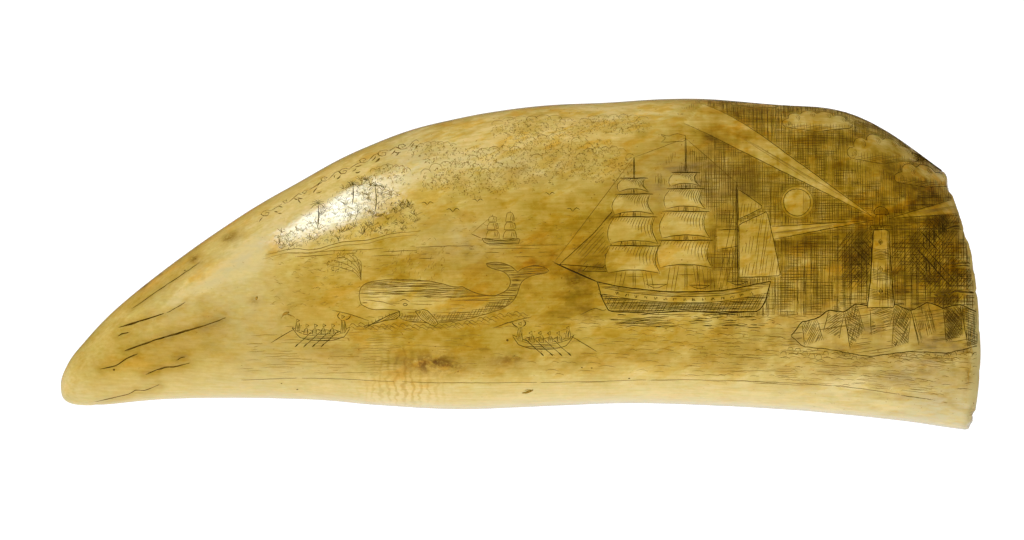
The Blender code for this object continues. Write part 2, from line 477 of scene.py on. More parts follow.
AGE_AND_HIGHLIGHT_PATCHES = (
    # the tip: a cream end, amber in its middle and a pale upper flank, with two thin pale streaks along its
    # ridge that are a painted highlight
    (-81, -21.5, 5.5, 5, 40, -0.03),
    (-64.5, -15, 9, 5, 36, 0.10),
    (-70, -13, 3, 1.6, 40, 0.14),
    (-57, -12, 3, 5, 20, 0.14),
    (-60, -3, 6, 2, 36, 0.14),
    (-56, -2, 24, 4.5, 36, -0.30),
    # painted highlight: a pale streak along the tip's ridge
    (-53, -0.2, 9, 1.1, 33, -0.22),
    (-79.5, -13.5, 2.5, 1.2, 45, 0.12),
    (-70, -3.8, 1.6, 0.8, 36, 0.16),
    (-66.5, -1.6, 1.2, 0.7, 36, 0.14),
    (-60, 1.6, 1.4, 0.8, 36, 0.16),
    (-53.7, 4.9, 1.8, 0.9, 30, 0.14),
    # painted highlight: a second pale streak along the tip's ridge
    (-60, -5.4, 7, 0.8, 26, -0.26),
    (-63.5, 1.5, 9, 1.2, 36, 0.12),
    (-50, -5, 6, 8, 0, -0.14),
    (-45.5, 2.5, 1.8, 1.6, 0, 0.26),
    # the pale band along the convex edge
    (-25, 14.5, 23, 7, 24, -0.30),
    (-44, 4, 6, 4, 30, -0.10),
    (-24, 7, 12, 4, 24, -0.12),
    (-3, 20.5, 13, 5, -2, -0.20),
    (20, 26, 20, 6, 0, -0.24),
    (2, 20.5, 5, 1.4, -4, 0.16),
    # amber and brown over the middle
    (4, -1, 15, 8, 24, 0.20),
    (14, 3, 16, 6, 0, 0.10),
    (-24, 4, 7, 4, 30, 0.04),
    (-18, -11, 12, 4, 20, 0.08),
    (10.5, -2.5, 3.2, 2.4, 40, 0.12),
    (12, -9, 3, 2.2, -40, 0.08),
    (19, 13.5, 4, 4.5, 0, 0.16),
    (27, 7, 6, 9, 0, 0.04),
    (38, 26, 9, 5, 0, 0.14),
    # the dark root third, and the paler sea and rim below it
    (63, 3, 5.5, 5, 0, 0.20),
    (75, 10, 8, 7, 30, 0.14),
    (73, 3, 10, 10, 0, 0.12),
    (79, -5, 4, 7, 80, 0.16),
    (47, 9, 6, 9, 0, 0.06),
    (46, -8, 16, 7, 0, -0.16),
    (62, -16, 22, 5, 0, -0.16),
    (84, -20, 2.2, 8, 0, -0.20),
    (60, 18, 10, 4, -20, -0.12),
    (-20.5, -13, 5, 2.6, 25, 0.14),
    # smaller blotches and pale spots over all of these
    (27, 20, 6, 7, 0, 0.12),
    (33, 15, 5, 5, 0, 0.10),
    (41, 26, 8, 4, 0, 0.10),
    (-26, -20, 9, 3, 0, 0.07),
    (15, -3, 5, 5, 0, 0.10),
    (77.6, -12.6, 4, 3, 0, 0.16),
    (76, -17, 9, 3, 0, 0.08),
    (38, -18.5, 16, 3.5, 0, 0.05),
    (77, 18.5, 4, 3.5, -40, -0.22),
    (-37, 4.3, 7, 3, 25, -0.12),
    (0, 17, 16, 3, 0, -0.12),
    (14.5, 19, 3.5, 3, 0, -0.14),
    (-9.5, 6, 7, 3.5, 10, -0.12),
    (-78.5, -22, 5, 3, 0, 0.12),
    (-74.5, -11, 5, 1.8, 42, -0.14),
    (7, -8.6, 8, 3, 0, 0.05),
    (4.5, -19.7, 5, 2, 0, 0.09),
    (26.7, -16, 7, 2.5, 0, 0.10),
    (76.7, -11.4, 4.5, 4, 0, 0.10),
    (28, -7, 9, 3.5, 0, -0.10),
    (9, -6.6, 4.5, 2.5, 0, 0.12),
    (70, 0, 14, 4, 0, -0.07),
    (64, -13.2, 4.5, 2.5, 0, 0.13),
    (83.2, -9.5, 2.2, 4.5, 0, -0.32),
    (54, 27.5, 14, 2, -10, -0.08),
    (81.5, 3, 1.6, 8, 0, -0.10),
    (-27, -13, 2, 9, -14, -0.10),
)
STAIN_PATCHES = (
    (-16.6, -18.2, 3.2, 1.8, 10, 0.95),
    (-13, -18.8, 3.4, 1.5, 0, 0.55),
    (-20.5, -18, 2.6, 1.2, 0, 0.35),
    (-2.6, -17.6, 3.2, 1.3, 5, 0.60),
    (10.5, -2.7, 2.8, 2, 50, 0.60),
    (12.5, -9, 2.6, 1.8, -40, 0.45),
    (19, 13, 2.5, 2.5, 0, 0.25),
    (-43, -9.3, 1.5, 0.8, 35, 0.70),
    (-49, -6.8, 0.9, 0.8, 0, 0.50),
    (-45.3, 2.6, 1.8, 1.5, 0, 0.25),
    (-53.7, 4.9, 1.8, 0.8, 30, 0.80),
    (-60.3, 1, 1.1, 0.6, 40, 0.70),
    (-69.5, -3.8, 1.4, 0.7, 36, 0.80),
    (-66.5, -1.7, 0.8, 0.5, 36, 0.70),
    (82.9, -27.6, 0.5, 1.6, -12, 0.90),
    (82, -15, 0.6, 3, 0, 0.45),
    (82, -21, 0.5, 3, -8, 0.45),
    (-44, -6, 1.2, 1, 0, 0.30),
    (80, 8.5, 3, 2, 60, 0.35),
    (81.8, -16.2, 1.2, 1, 0, 0.65),
    (82.3, -20.3, 1, 0.8, 0, 0.50),
    (63, 3, 4, 3.5, 40, 0.25),
)
GOLD_PATCHES = (  # where the patina has turned a warmer yellow
    (-67, -2, 11, 1.8, 36, 1),
    (8, 23, 16, 3, 0, 0.6),
    (60, 4, 20, 12, 0, 0.6),
    (-61, -12.3, 5, 3.2, 20, 0.5),
    (-59.5, -2, 4, 1.2, 30, 0.9),
    (-72, -18.5, 8, 2.5, 25, 0.5),
    (-45.5, 2.6, 2, 1.8, 0, 0.8),
    (-20.5, -22, 6, 3.5, 0, 0.7),
    (-16.5, -18, 4, 2.5, 0, 0.5),
    (-52.5, 8.5, 8, 1.6, 34, 1),
    (-36, 16, 9, 2, 28, 0.6),
    (-33, -9, 8, 6, 0, 0.4),
    (-3, -4, 16, 3.5, 28, 0.5),
    (3.7, 2, 5, 4, 0, 0.9),
    (0, 28, 26, 3, 3, 0.5),
    (28.5, -0.5, 4, 3, 0, 0.5),
    (44, 25, 12, 6, 0, 0.7),
    (72, 10, 11, 9, 0, 0.9),
    (79.5, 2, 5, 8, 0, 0.6),
)
CHALK_AND_HIGHLIGHT_PATCHES = (
    (-52, 1, 20, 4.5, 36, 0.26),
    (-62, -13, 9, 6, 30, 0.14),
    (-80.5, -21, 5, 5, 0, 0.14),
    # painted highlight: the pale streak along the tip's ridge
    (-53, -0.2, 9, 1, 33, 0.25),
    (-64, -6, 8, 5, 36, 0.12),
    (-46, 4.5, 6, 4, 30, 0.20),
    (-20.5, 19.5, 6, 4, 10, 0.50),
    (79, -26.5, 9, 4, 0, 0.75),
    (60, -22, 16, 4, 0, 0.30),
    (-52, -23.6, 9, 2.5, 0, 0.20),
    (-50, -8, 7, 9, 0, 0.35),
    (-2, 18, 12, 3, -4, 0.30),
    (-42, -18, 14, 5, 0, 0.25),
    (-11, 4.5, 8, 4, 0, 0.30),
    (29, 15, 10, 6, 0, 0.25),
    (58, -12.5, 18, 4.5, 0, 0.22),
    (75, -18.5, 10, 4, 0, 0.35),
)
GROWTH_PATCHES = ((-21.5, -23.5, 6.5, 2.6, 0, 1), (-22, -18.5, 5, 3, 0, 0.5))
GROWTH_CENTRE = (-4.0, -26.0)  # of the faint arcs where the growth layers were cut through
GROWTH_STEP = 1.9
GROWTH_ARCS = ((-17, -12, 10, 6, 20, 1),)
MOTTLED_CORNER = ((72, -25, 16, 5, 0, 0.7),)


def patches(x, y, rows):
    """The sum of the rows' changes at each place."""
    total = np.zeros_like(x)
    for place_x, place_y, length, width, turn, change in rows:
        c, s = math.cos(math.radians(turn)), math.sin(math.radians(turn))
        along = ((x - place_x) * c + (y - place_y) * s) / length
        across = ((y - place_y) * c - (x - place_x) * s) / width
        total += change * np.exp(-(along**2 + across**2))
    return total


def mottle_of(points):
    """How strongly the ivory is mottled: most over the picture, least on the tip and lower edge."""
    x, y = points[:, 0], points[:, 1]
    inner = 0.30 + 0.70 * smooth_step(y - height_on(LOWER_EDGE, x), 3.0, 8.0)
    share = inner * (0.40 + 0.60 * smooth_step(x, -48.0, -20.0))
    return share + patches(x, y, MOTTLED_CORNER)


def age_and_painted_light_of(points):
    """How dark the ivory looks, from 0, cream, to 1, brown: its age, with painted shade and painted light at
    its edges and a painted highlight near the tip.
    """

    def shift(seed):
        """How far the patches' ragged edges wander."""
        return 5.0 * sway(points, 7.0, seed, 3) + 2.6 * sway(points, 1.3, seed + 1, 2)

    at_x, at_y, at_z = points.T
    x, y = at_x + shift(41), at_y + 0.7 * shift(47)
    from_low = y - height_on(LOWER_EDGE, at_x)
    from_high = height_on(UPPER_EDGE, at_x) - at_y
    from_root = root_face_x(at_y) - at_x
    # paler towards the concave edge: partly the ivory's cream there, partly painted light, the glow along
    # that edge
    lower = 0.75 * fall(from_low, 3.0, 9.0) + 0.25 * fall(from_low, 0.0, 3.5)
    dark_end = smooth_step(x, 28.0, 36.0) * smooth_step(from_low, 6.0, 13.0)

    # The engraved side: the patches, then blotches, the edges, the root's rim and worn streaks. At the
    # convex edge a thin dark line is painted shade, with a paler band 2 to 6 mm in.
    front = 0.42 + patches(x, y, AGE_AND_HIGHLIGHT_PATCHES) + 0.20 * dark_end
    # the concave edge made paler: its cream and the painted glow
    front -= lower * (0.30 + 0.10 * smooth_step(x, -45.0, -10.0) - 0.16 * smooth_step(x, 56.0, 80.0))
    amber = smooth_step(cloud(points, (3.2, 2.2, 2.2), 67, 4), 0.55, 0.68)
    front += mottle_of(points) * (0.30 * sway(points, (8.0, 5.0, 5.0), 61, 3) + 0.12 * amber)
    brushed = cloud(points, (0.9, 6.0, 6.0), 73, 2) + cloud(points, (6.0, 0.9, 0.9), 79, 2) - 1.0
    front += dark_end * (0.40 * brushed + 0.44 * sway(points, 4.0, 75, 3))
    # painted shade: a thin dark line within 0.8 mm of the convex edge
    front += 0.08 * fall(from_high, 0.1, 0.8) * (1 - dark_end)
    front -= 0.10 * fall(from_high, 2.0, 6.0)
    front -= (0.16 + 0.12 * smooth_step(y, 6.0, 12.0)) * fall(from_root, 1.5, 4.5) * dark_end
    streaks = sway(points, (5.0, 0.7, 0.7), 101, 3)
    front += 0.5 * streaks * smooth_step(at_x, 45.0, 62.0) * fall(at_y, -17.0, -13.0)

    # The growth layers and the stains along the cracks.
    radius = np.hypot(at_x - GROWTH_CENTRE[0], at_y - GROWTH_CENTRE[1])
    arcs = np.sin(2 * np.pi * radius / GROWTH_STEP + 7.0 * cloud(points, 6.0, 91, 2))
    front += 0.05 * arcs * patches(x, y, GROWTH_ARCS)
    stain = bell(distance_to_cracks(points, TIP_CRACKS, 4.0), 1.1)
    stain += 0.7 * bell(distance_to_cracks(points, ROOT_CRACKS, 4.0), 0.9)
    front += 0.20 * stain

    back = 0.30 + 0.35 * sway(points, (22.0, 9.0, 9.0), 83, 3) + 0.12 * amber
    back += 0.20 * smooth_step(at_x, 30.0, 75.0)
    from_core = at_z - core_height((at_x + HALF_LENGTH) / (2 * HALF_LENGTH))
    return np.clip(back + (front - back) * smooth_step(from_core, -5.0, 1.0), 0, 1)


def bareness(points, bare):
    """1 where a shape was left bare of lines and ink, for the tooth's own points."""
    outer = SHEET_Y_AT.size
    xy = np.stack([points[:outer, 0], SHEET_Y_AT.ravel()], axis=1)
    found = np.zeros(len(points))
    for shape, amount in bare:
        low, high = shape.min(axis=0), shape.max(axis=0)
        near = np.flatnonzero(((xy > low) & (xy < high)).all(axis=1))
        found[near] = np.maximum(found[near], amount * inside(shape, xy[near]))
    return found


def cement_of(points):
    """The grey-green rim of cement at the root's end, widest towards the concave edge."""
    x, y = points[:, 0], points[:, 1]
    low = smooth_step(-y, 10.0, 16.0)
    side = bell(y + 9.0, 5.0)
    reach = 1.6 + 0.8 * side + 0.3 * low + 1.5 * sway(points, 2.0, 97, 3)
    near = fall((root_face_x(y) - x) / reach, 0.75, 1.4)
    return near * (0.46 - 0.28 * smooth_step(y, 10.0, 14.0) + 0.16 * side + 0.34 * low)


def colour_tooth(piece, points, depth, bare):
    """Stores what the ivory's nodes read, such as its age and how far into the root a point is."""
    x, y, z = points.T
    upper = smooth_step(z, 8.0, 16.0)
    from_low = y - height_on(LOWER_EDGE, x)
    # chalkier towards the concave edge: partly the ivory's cream, partly painted light, the glow along that
    # edge
    edge = 0.25 * fall(from_low, 3.0, 6.0) + 0.42 * fall(from_low, 0.0, 2.0)
    edge = edge * (0.6 + 0.4 * smooth_step(x, -40.0, -15.0))
    values = {
        "age": np.clip(age_and_painted_light_of(points) - bareness(points, bare), 0, 1),
        "mottle": mottle_of(points),
        "chalk_and_painted_light": np.clip(patches(x, y, CHALK_AND_HIGHLIGHT_PATCHES) + edge, 0, 1) * upper,
        "stain": np.clip(patches(x, y, STAIN_PATCHES), 0, 1) * upper,
        "gold": np.clip(patches(x, y, GOLD_PATCHES), 0, 1) * upper,
        "cement": cement_of(points) * upper,
        "growth": patches(x, y, GROWTH_PATCHES) * upper,
        "root_depth": depth,
    }
    for name, value in values.items():
        attribute = piece.data.attributes.new(name, "FLOAT", "POINT")
        attribute.data.foreach_set("value", np.asarray(value, np.float32))


# ---------------------------------------------------------------- materials


class Nodes:
    """Builds the nodes of a material or a world. A value is a number, a colour or another output."""

    def __init__(self, owner):
        owner.use_nodes = True
        self.tree = owner.node_tree

    def feed(self, socket, value):
        if isinstance(value, bpy.types.NodeSocket):
            self.tree.links.new(value, socket)
        elif socket.type == "RGBA":
            socket.default_value = (*value, 1.0)
        else:
            socket.default_value = value

    def fill(self, node, **values):
        """Feeds a node's inputs by name, with _ for a space."""
        for name, value in values.items():
            self.feed(node.inputs[name.replace("_", " ")], value)
        return node

    def add(self, kind, **values):
        return self.fill(self.tree.nodes.new("ShaderNode" + kind), **values)

    def stored(self, name):
        """What the mesh stores under a name."""
        node = self.add("Attribute")
        node.attribute_name = name
        return node.outputs["Fac"]

    def noise(self, place, per_mm, detail=3.0, stretch=(1, 1, 1), crisp=0.5):
        """Noise whose blobs are about 1 / per_mm millimetres."""
        place = self.add("Mapping", Vector=place, Scale=stretch).outputs["Vector"]
        values = {"Scale": per_mm / MM, "Detail": detail, "Roughness": crisp}
        return self.add("TexNoise", Vector=place, **values).outputs["Fac"]

    def ramp(self, value, *stops):
        """The colour that a value has between stops of (place, colour)."""
        node = self.add("ValToRGB", Fac=value)
        elements = node.color_ramp.elements
        while len(elements) < len(stops):
            elements.new(0.5)
        for element, (place, colour) in zip(elements, stops):
            element.position = place
            element.color = (*colour, 1.0)
        return node.outputs["Color"]

    def climb(self, value, low, high, start=0.0):
        """Goes from start to 1 while the value goes from low to high."""
        return self.ramp(value, (low, (start,) * 3), (high, (1.0,) * 3))

    def math(self, operation, first, second=0.0):
        node = self.add("Math")
        node.operation = operation
        self.feed(node.inputs[0], first)
        self.feed(node.inputs[1], second)
        return node.outputs["Value"]

    def times(self, first, second):
        return self.math("MULTIPLY", first, second)

    def total(self, first, *others):
        for value in others:
            first = self.math("ADD", first, value)
        return first

    def term(self, value, middle, amount):
        """A value's distance from its middle, times an amount."""
        return self.times(self.math("SUBTRACT", value, middle), amount)

    def mix(self, blend, share, first, second):
        node = self.add("Mix")
        node.data_type = "RGBA"
        node.blend_type = blend
        for place, value in ((0, share), (6, first), (7, second)):
            self.feed(node.inputs[place], value)
        return node.outputs[2]


def matt_material(name, colour, roughness, **values):
    """A material with no gloss."""
    material = bpy.data.materials.new(name)
    nodes = Nodes(material)
    values.update(Base_Color=colour, Roughness=roughness, Specular_IOR_Level=0.0)
    nodes.fill(nodes.tree.nodes["Principled BSDF"], **values)
    return material


def ivory_material():
    """Old polished ivory: honey to brown by age, with grain, growth bands, specks and fine scratches, and
    the painted shade and light that its stored values carry.
    """
    material = bpy.data.materials.new("polished_ivory")
    nodes = Nodes(material)
    times, total, term = nodes.times, nodes.total, nodes.term
    place = nodes.add("TexCoord").outputs["Object"]
    turned = nodes.add("Mapping", Vector=place, Rotation=(0.0, 0.0, math.radians(-22.0))).outputs["Vector"]
    grain = nodes.noise(place, 2.2, 3.0, (0.07, 1.0, 1.0))
    mottle = nodes.noise(place, 0.24, 10.0, (0.7, 1.0, 1.0), 0.62)
    fine = nodes.noise(place, 1.3, 4.0, (0.8, 1.0, 1.0), 0.6)
    strength = nodes.stored("mottle")

    # The stored age, with mottling, grain and growth bands added, gives the ivory's colour, with the painted
    # shade and light that the stored age also carries.
    amber = nodes.climb(nodes.noise(turned, 0.31, 9.0, (0.45, 1.1, 1.0), 0.64), 0.51, 0.60)
    ambers = times(amber, strength)
    pale = nodes.climb(nodes.noise(turned, 0.33, 8.0, (0.4, 1.1, 1.0), 0.60), 0.54, 0.60)
    texture = times(total(term(mottle, 0.5, 0.70), term(pale, 0.3, -0.10)), strength)
    texture = total(texture, term(ambers, 0.2, 0.08), term(grain, 0.5, 0.34), term(fine, 0.5, 0.22))
    wave = nodes.add("TexWave", Vector=place, Scale=215.0, Distortion=6.0, Detail=3.0, Detail_Scale=2.0)
    wave.bands_direction = "X"
    bands = times(term(nodes.climb(wave.outputs["Fac"], 0.45, 0.95), 0.25, 0.27), nodes.stored("growth"))
    colour = nodes.ramp(
        total(nodes.stored("age"), texture, bands),
        (0.0, (0.66, 0.50, 0.19)),
        (0.2, (0.54, 0.382, 0.094)),
        (0.4, (0.45, 0.295, 0.047)),
        (0.6, (0.36, 0.217, 0.016)),
        (0.8, (0.25, 0.140, 0.005)),
        (1.0, (0.12, 0.066, 0.002)),
    )

    # Tints over it: amber, chalk with painted light (the glow of the concave edge and a painted highlight
    # near the tip), warm patina, green, the root's cement, stains and specks.
    worn = nodes.climb(nodes.noise(place, 0.8, 6.0, (0.4, 1.0, 1.0), 0.6), 0.40, 0.58, 0.45)
    green = nodes.climb(nodes.noise(place, 0.42, 5.0, (0.7, 1.0, 1.0), 0.6), 0.42, 0.62)
    ragged = nodes.climb(nodes.noise(place, 0.55, 10.0, (0.8, 1.0, 1.0), 0.7), 0.42, 0.56)
    speck = nodes.climb(nodes.noise(place, 1.7, 1.0), 0.72, 0.80)
    for blend, share, tint in (
        ("MULTIPLY", ambers, (1.03, 0.96, 0.68)),
        ("MIX", times(nodes.stored("chalk_and_painted_light"), worn), (0.50, 0.42, 0.22)),
        ("MULTIPLY", times(nodes.stored("gold"), term(amber, -0.60, 0.7)), (1.13, 0.95, 0.62)),
        ("MULTIPLY", green, (0.955, 1.0, 0.98)),
        ("MIX", nodes.stored("cement"), (0.38, 0.31, 0.118)),
        ("MULTIPLY", times(nodes.stored("stain"), ragged), (0.37, 0.26, 0.0)),
        ("MULTIPLY", times(speck, strength), (0.50, 0.38, 0.22)),
    ):
        colour = nodes.mix(blend, share, colour, tint)

    # The root's end: a pale rim of cement, rings of dentine, and the pulp cavity, whose dark brown deepens
    # to near black with depth as painted shade.
    depth = nodes.stored("root_depth")
    half_depth = times(depth, 0.5)
    in_root = nodes.climb(half_depth, 0.24, 0.27)
    rings = nodes.math("SINE", times(total(depth, term(mottle, 0.5, 0.06)), 75.0))
    end = nodes.ramp(
        half_depth,
        (0.26, (0.50, 0.385, 0.165)),
        (0.31, (0.44, 0.315, 0.10)),
        (0.47, (0.30, 0.20, 0.06)),
        (0.52, (0.14, 0.085, 0.025)),
        # painted shade: darker deeper in the cavity
        (0.95, (0.05, 0.03, 0.01)),
    )
    end = nodes.mix("MULTIPLY", term(rings, -1.0, 0.15), end, (0.62, 0.50, 0.32))
    end = nodes.mix("MULTIPLY", term(mottle, 0.3, 1.1), end, (0.62, 0.50, 0.34))

    scratch = nodes.noise(place, 4.5, 2.0, (0.05, 1.0, 1.0))
    height = total(scratch, term(mottle, 0.5, 1.6), term(fine, 0.5, 0.9))
    bump = nodes.add("Bump", Height=height, Strength=0.12, Distance=0.0002)
    nodes.fill(
        nodes.tree.nodes["Principled BSDF"],
        Base_Color=nodes.mix("MIX", in_root, colour, end),
        Roughness=total(0.075, term(grain, 0.45, 0.20), term(in_root, 0.0, 0.35)),
        Normal=bump.outputs["Normal"],
        Specular_IOR_Level=0.3,
        Subsurface_Weight=0.12,
        Subsurface_Scale=0.0012,
    )
    return material


# ---------------------------------------------------------------- engraving
#
# Each line is a sliver of ink that lies in the surface: a flat top just proud of the ivory and a
# keel below it. Lines are drawn on the picture plane and laid on the tooth all at once.

PROUD = 0.014
KEEL = 0.05
CURVE_STEPS = 8  # between two of a curve's own points
PATH_STEP = 0.25  # between the points that are tested for being free
SEGMENT = 0.8  # between the points of the mesh
SHORT_SEGMENT = 0.35
SHORT_RUN = 9  # the greatest number of path steps for which segments are short
THIN = 0.07  # the widths of lines
HAIR = 0.09
FINE = 0.12
FIRM = 0.17

INKS = {
    "dark": (0.040, 0.023, 0.003),
    "crack": (0.060, 0.034, 0.004),
    "brown": (0.125, 0.068, 0.008),
    "faint": (0.230, 0.138, 0.020),
    "spot": (0.400, 0.230, 0.030),
}


def inside(shape, xy):
    """Which points lie in a polygon, by the even-odd rule."""
    x, y = xy.T
    found = np.zeros(len(xy), bool)
    for a, b in zip(shape, np.roll(shape, -1, axis=0)):
        crosses = (a[1] > y) != (b[1] > y)
        rise = b[1] - a[1] if b[1] != a[1] else 1.0
        found ^= crosses & (x < a[0] + (y - a[1]) * (b[0] - a[0]) / rise)
    return found


def evenly(path, step):
    """The same path with points about a step apart, and at least three of them."""
    run = np.append(0, np.cumsum(np.linalg.norm(np.diff(path, axis=0), axis=1)))
    count = max(int(round(run[-1] / step)), 2)
    at = np.linspace(0, run[-1], count + 1)
    return np.stack([np.interp(at, run, path[:, 0]), np.interp(at, run, path[:, 1])], axis=1)


def runs(mask):
    """(start, end) of each unbroken run of true values."""
    edges = np.flatnonzero(np.diff(np.concatenate([[0], mask.astype(int), [0]])))
    return zip(edges[::2], edges[1::2])


def placed(place, scale, facing=1):
    """A function that sets points down at a place and scale, mirrored where facing is -1."""
    return lambda points: np.array(points, float) * (facing, 1) * scale + place


def ellipse(place, half_x, half_y, start=0, end=360, steps=20):
    t = np.radians(np.linspace(start, end, steps))
    return np.stack([place[0] + half_x * np.cos(t), place[1] + half_y * np.sin(t)], axis=1)


def worn(size, seed, level):
    """Keeps a line only where noise is over a level, as if it were worn."""
    return lambda xy: noise(xy, size, seed) > level


def angled(degrees):
    """The direction at an angle."""
    return np.array([math.cos(math.radians(degrees)), math.sin(math.radians(degrees))])


class Engraver:
    """Draws lines on the picture plane. A shape that is reserved keeps later lines out of it."""

    def __init__(self):
        self.random = np.random.default_rng(1)
        self.subject = ""
        self.strokes = {}
        self.reserved = []
        self.bare = []

    def reserve(self, shape):
        shape = np.asarray(shape, float)
        self.reserved.append((shape, shape.min(axis=0), shape.max(axis=0)))

    def leave_bare(self, shape, amount):
        """Marks a shape where the ivory was left clean, and so stays lighter."""
        self.bare.append((np.asarray(shape, float), amount))

    def free(self, xy):
        """Where nothing is reserved and the tooth has a surface."""
        open_places = lay(xy, SHEET_HELD[..., None].astype(float))[:, 0] > WHOLE
        for shape, low, high in self.reserved:
            near = open_places & ((xy > low) & (xy < high)).all(axis=1)
            if near.any():
                open_places[near] = ~inside(shape, xy[near])
        return open_places

    def line(
        self, points, width=FINE, ink="dark", smooth=True, wobble=0.05, keep=None, ends=0.3, uneven=0.0
    ):
        """One line through the points, broken where it isn't free or keep(xy) is false. Ends is the
        share of the width that its ends have."""
        path = smooth_curve(points, CURVE_STEPS) if smooth else np.asarray(points, float)
        path = evenly(path, PATH_STEP)
        run = np.arange(len(path)) * PATH_STEP
        phase = self.random.uniform(0, 6.28, 4)
        shake = np.stack([np.sin(run * 1.9 + phase[0]), np.sin(run * 2.3 + phase[1])], axis=1)
        shake += np.stack([np.sin(run * 0.7 + phase[2]), np.sin(run * 0.6 + phase[3])], axis=1)
        path = path + wobble * 0.6 * shake
        whole = self.free(path)
        if keep is not None:
            whole &= keep(path)
        for start, end in runs(whole):
            if end - start < 2:
                continue
            part = evenly(path[start:end], SEGMENT if end - start > SHORT_RUN else SHORT_SEGMENT)
            shape = np.sin(np.linspace(0.0, np.pi, len(part))) ** 0.5
            pressure = self.random.uniform(0.85, 1.15)
            widths = width * pressure * (ends + (1 - ends) * shape)
            widths = widths * (1 + uneven * (2 * noise(part, 1.1, 87) - 1))
            self.strokes.setdefault((self.subject, ink), []).append((part, widths))

    def shape(self, points, width=FINE, ink="dark", smooth=True, reserve=True, wobble=0.04):
        """A closed outline, which is reserved afterwards."""
        points = np.asarray(points, float)
        outline = smooth_curve(np.vstack([points, points[:1]]), CURVE_STEPS) if smooth else points
        self.line(np.vstack([outline, outline[:1]]), width, ink, smooth=False, wobble=wobble, ends=0.8)
        if reserve:
            self.reserve(outline)

    def hatch(self, shape, turn, gap, width=HAIR, ink="dark", keep=None, wobble=0.05, uneven=0.25):
        """Parallel lines across a shape, or where keep(xy) is true within it."""
        shape = np.asarray(shape, float)
        along = angled(turn)
        across = np.array([-along[1], along[0]])
        low, high = (shape @ across).min(), (shape @ across).max()
        start, end = (shape @ along).min(), (shape @ along).max()

        def wanted(xy):
            found = inside(shape, xy)
            return found & keep(xy) if keep is not None else found

        for place in np.arange(low + gap / 2, high, gap):
            place = place + self.random.uniform(-uneven, uneven) * gap
            lean = self.random.normal(0, 0.006) * (end - start)
            ends = np.array([along * start + across * (place - lean), along * end + across * (place + lean)])
            self.line(ends, width, ink, smooth=False, wobble=wobble, keep=wanted)

    def ticks(self, places, length, turn, spread, width, ink, bend=0.15):
        """Short strokes at the places, each turned by about the same angle."""
        for place in places:
            size = length * self.random.uniform(0.6, 1.3)
            way = angled(self.random.normal(turn, spread))
            side = np.array([-way[1], way[0]]) * size * self.random.normal(0, bend)
            self.line([place - way * size / 2, place + side, place + way * size / 2], width, ink, wobble=0.0)

    def scatter(self, low, high, count, keep=None):
        """Random places in a box."""
        places = self.random.uniform(low, high, (count, 2))
        return places[keep(places)] if keep is not None else places

    def pieces(self):
        """Makes one mesh for each subject and ink."""
        made = []
        for (subject, ink), strokes in self.strokes.items():
            piece = ink_mesh(f"{subject}_{ink}", strokes)
            piece.data.materials.append(ink_material(ink))
            made.append(piece)
        return made


def ink_mesh(name, strokes):
    """Slivers for many strokes: a ribbon on top, and two sides that meet in a keel."""
    xy = np.concatenate([path for path, _ in strokes])
    half = np.concatenate([widths for _, widths in strokes])[:, None] / 2
    sizes = np.array([len(path) for path, _ in strokes])
    ends = np.cumsum(sizes)
    number = np.repeat(np.arange(len(sizes)), sizes)
    index = np.arange(len(xy))
    following = np.minimum(index + 1, ends[number] - 1)
    previous = np.maximum(index - 1, (ends - sizes)[number])

    middle = lay(xy, SHEET_POINTS)
    up = lay(xy, SHEET_NORMALS)
    up /= np.linalg.norm(up, axis=1, keepdims=True)
    side = np.cross(up, middle[following] - middle[previous])
    side /= np.maximum(np.linalg.norm(side, axis=1, keepdims=True), 1e-9)
    corners = (middle + side * half + up * PROUD, middle - side * half + up * PROUD, middle - up * KEEL)
    points = np.stack(corners, axis=1).reshape(-1, 3)

    a = 3 * np.flatnonzero(following != index)
    b = a + 3
    quads = [
        np.column_stack([a + 1, b + 1, b, a]),
        np.column_stack([a, b, b + 2, a + 2]),
        np.column_stack([a + 1, a + 2, b + 2, b + 1]),
    ]
    first, last = 3 * (ends - sizes), 3 * (ends - 1)
    caps = [
        np.column_stack([first, first + 2, first + 1]),
        np.column_stack([last, last + 1, last + 2]),
    ]
    return make_mesh(name, points, np.concatenate(quads), np.concatenate(caps))


def ink_material(ink):
    name = f"{ink}_ink"
    return bpy.data.materials.get(name) or matt_material(name, INKS[ink], 0.8)


# ---------------------------------------------------------------- the picture
#
# A traditional whaling scene of no one's in particular: a bark, a whale and its boats, a headland
# with trees, clouds, and a lighthouse under a night sky.

SHIP_MASTS = ((-8.2, 21.5), (0.2, 24.6), (8.4, 17.4))  # place and height
SHIP_DECK = 3.6
SAIL_BELLY = 0.7
SQUARE_SAILS = (  # bottom, top, half-width at the bottom and at the top
    (6.3, 10.6, 4.2, 3.9),
    (11.1, 15.3, 3.9, 3.3),
    (15.8, 19.0, 3.2, 2.6),
    (19.5, 21.6, 2.4, 1.8),
)


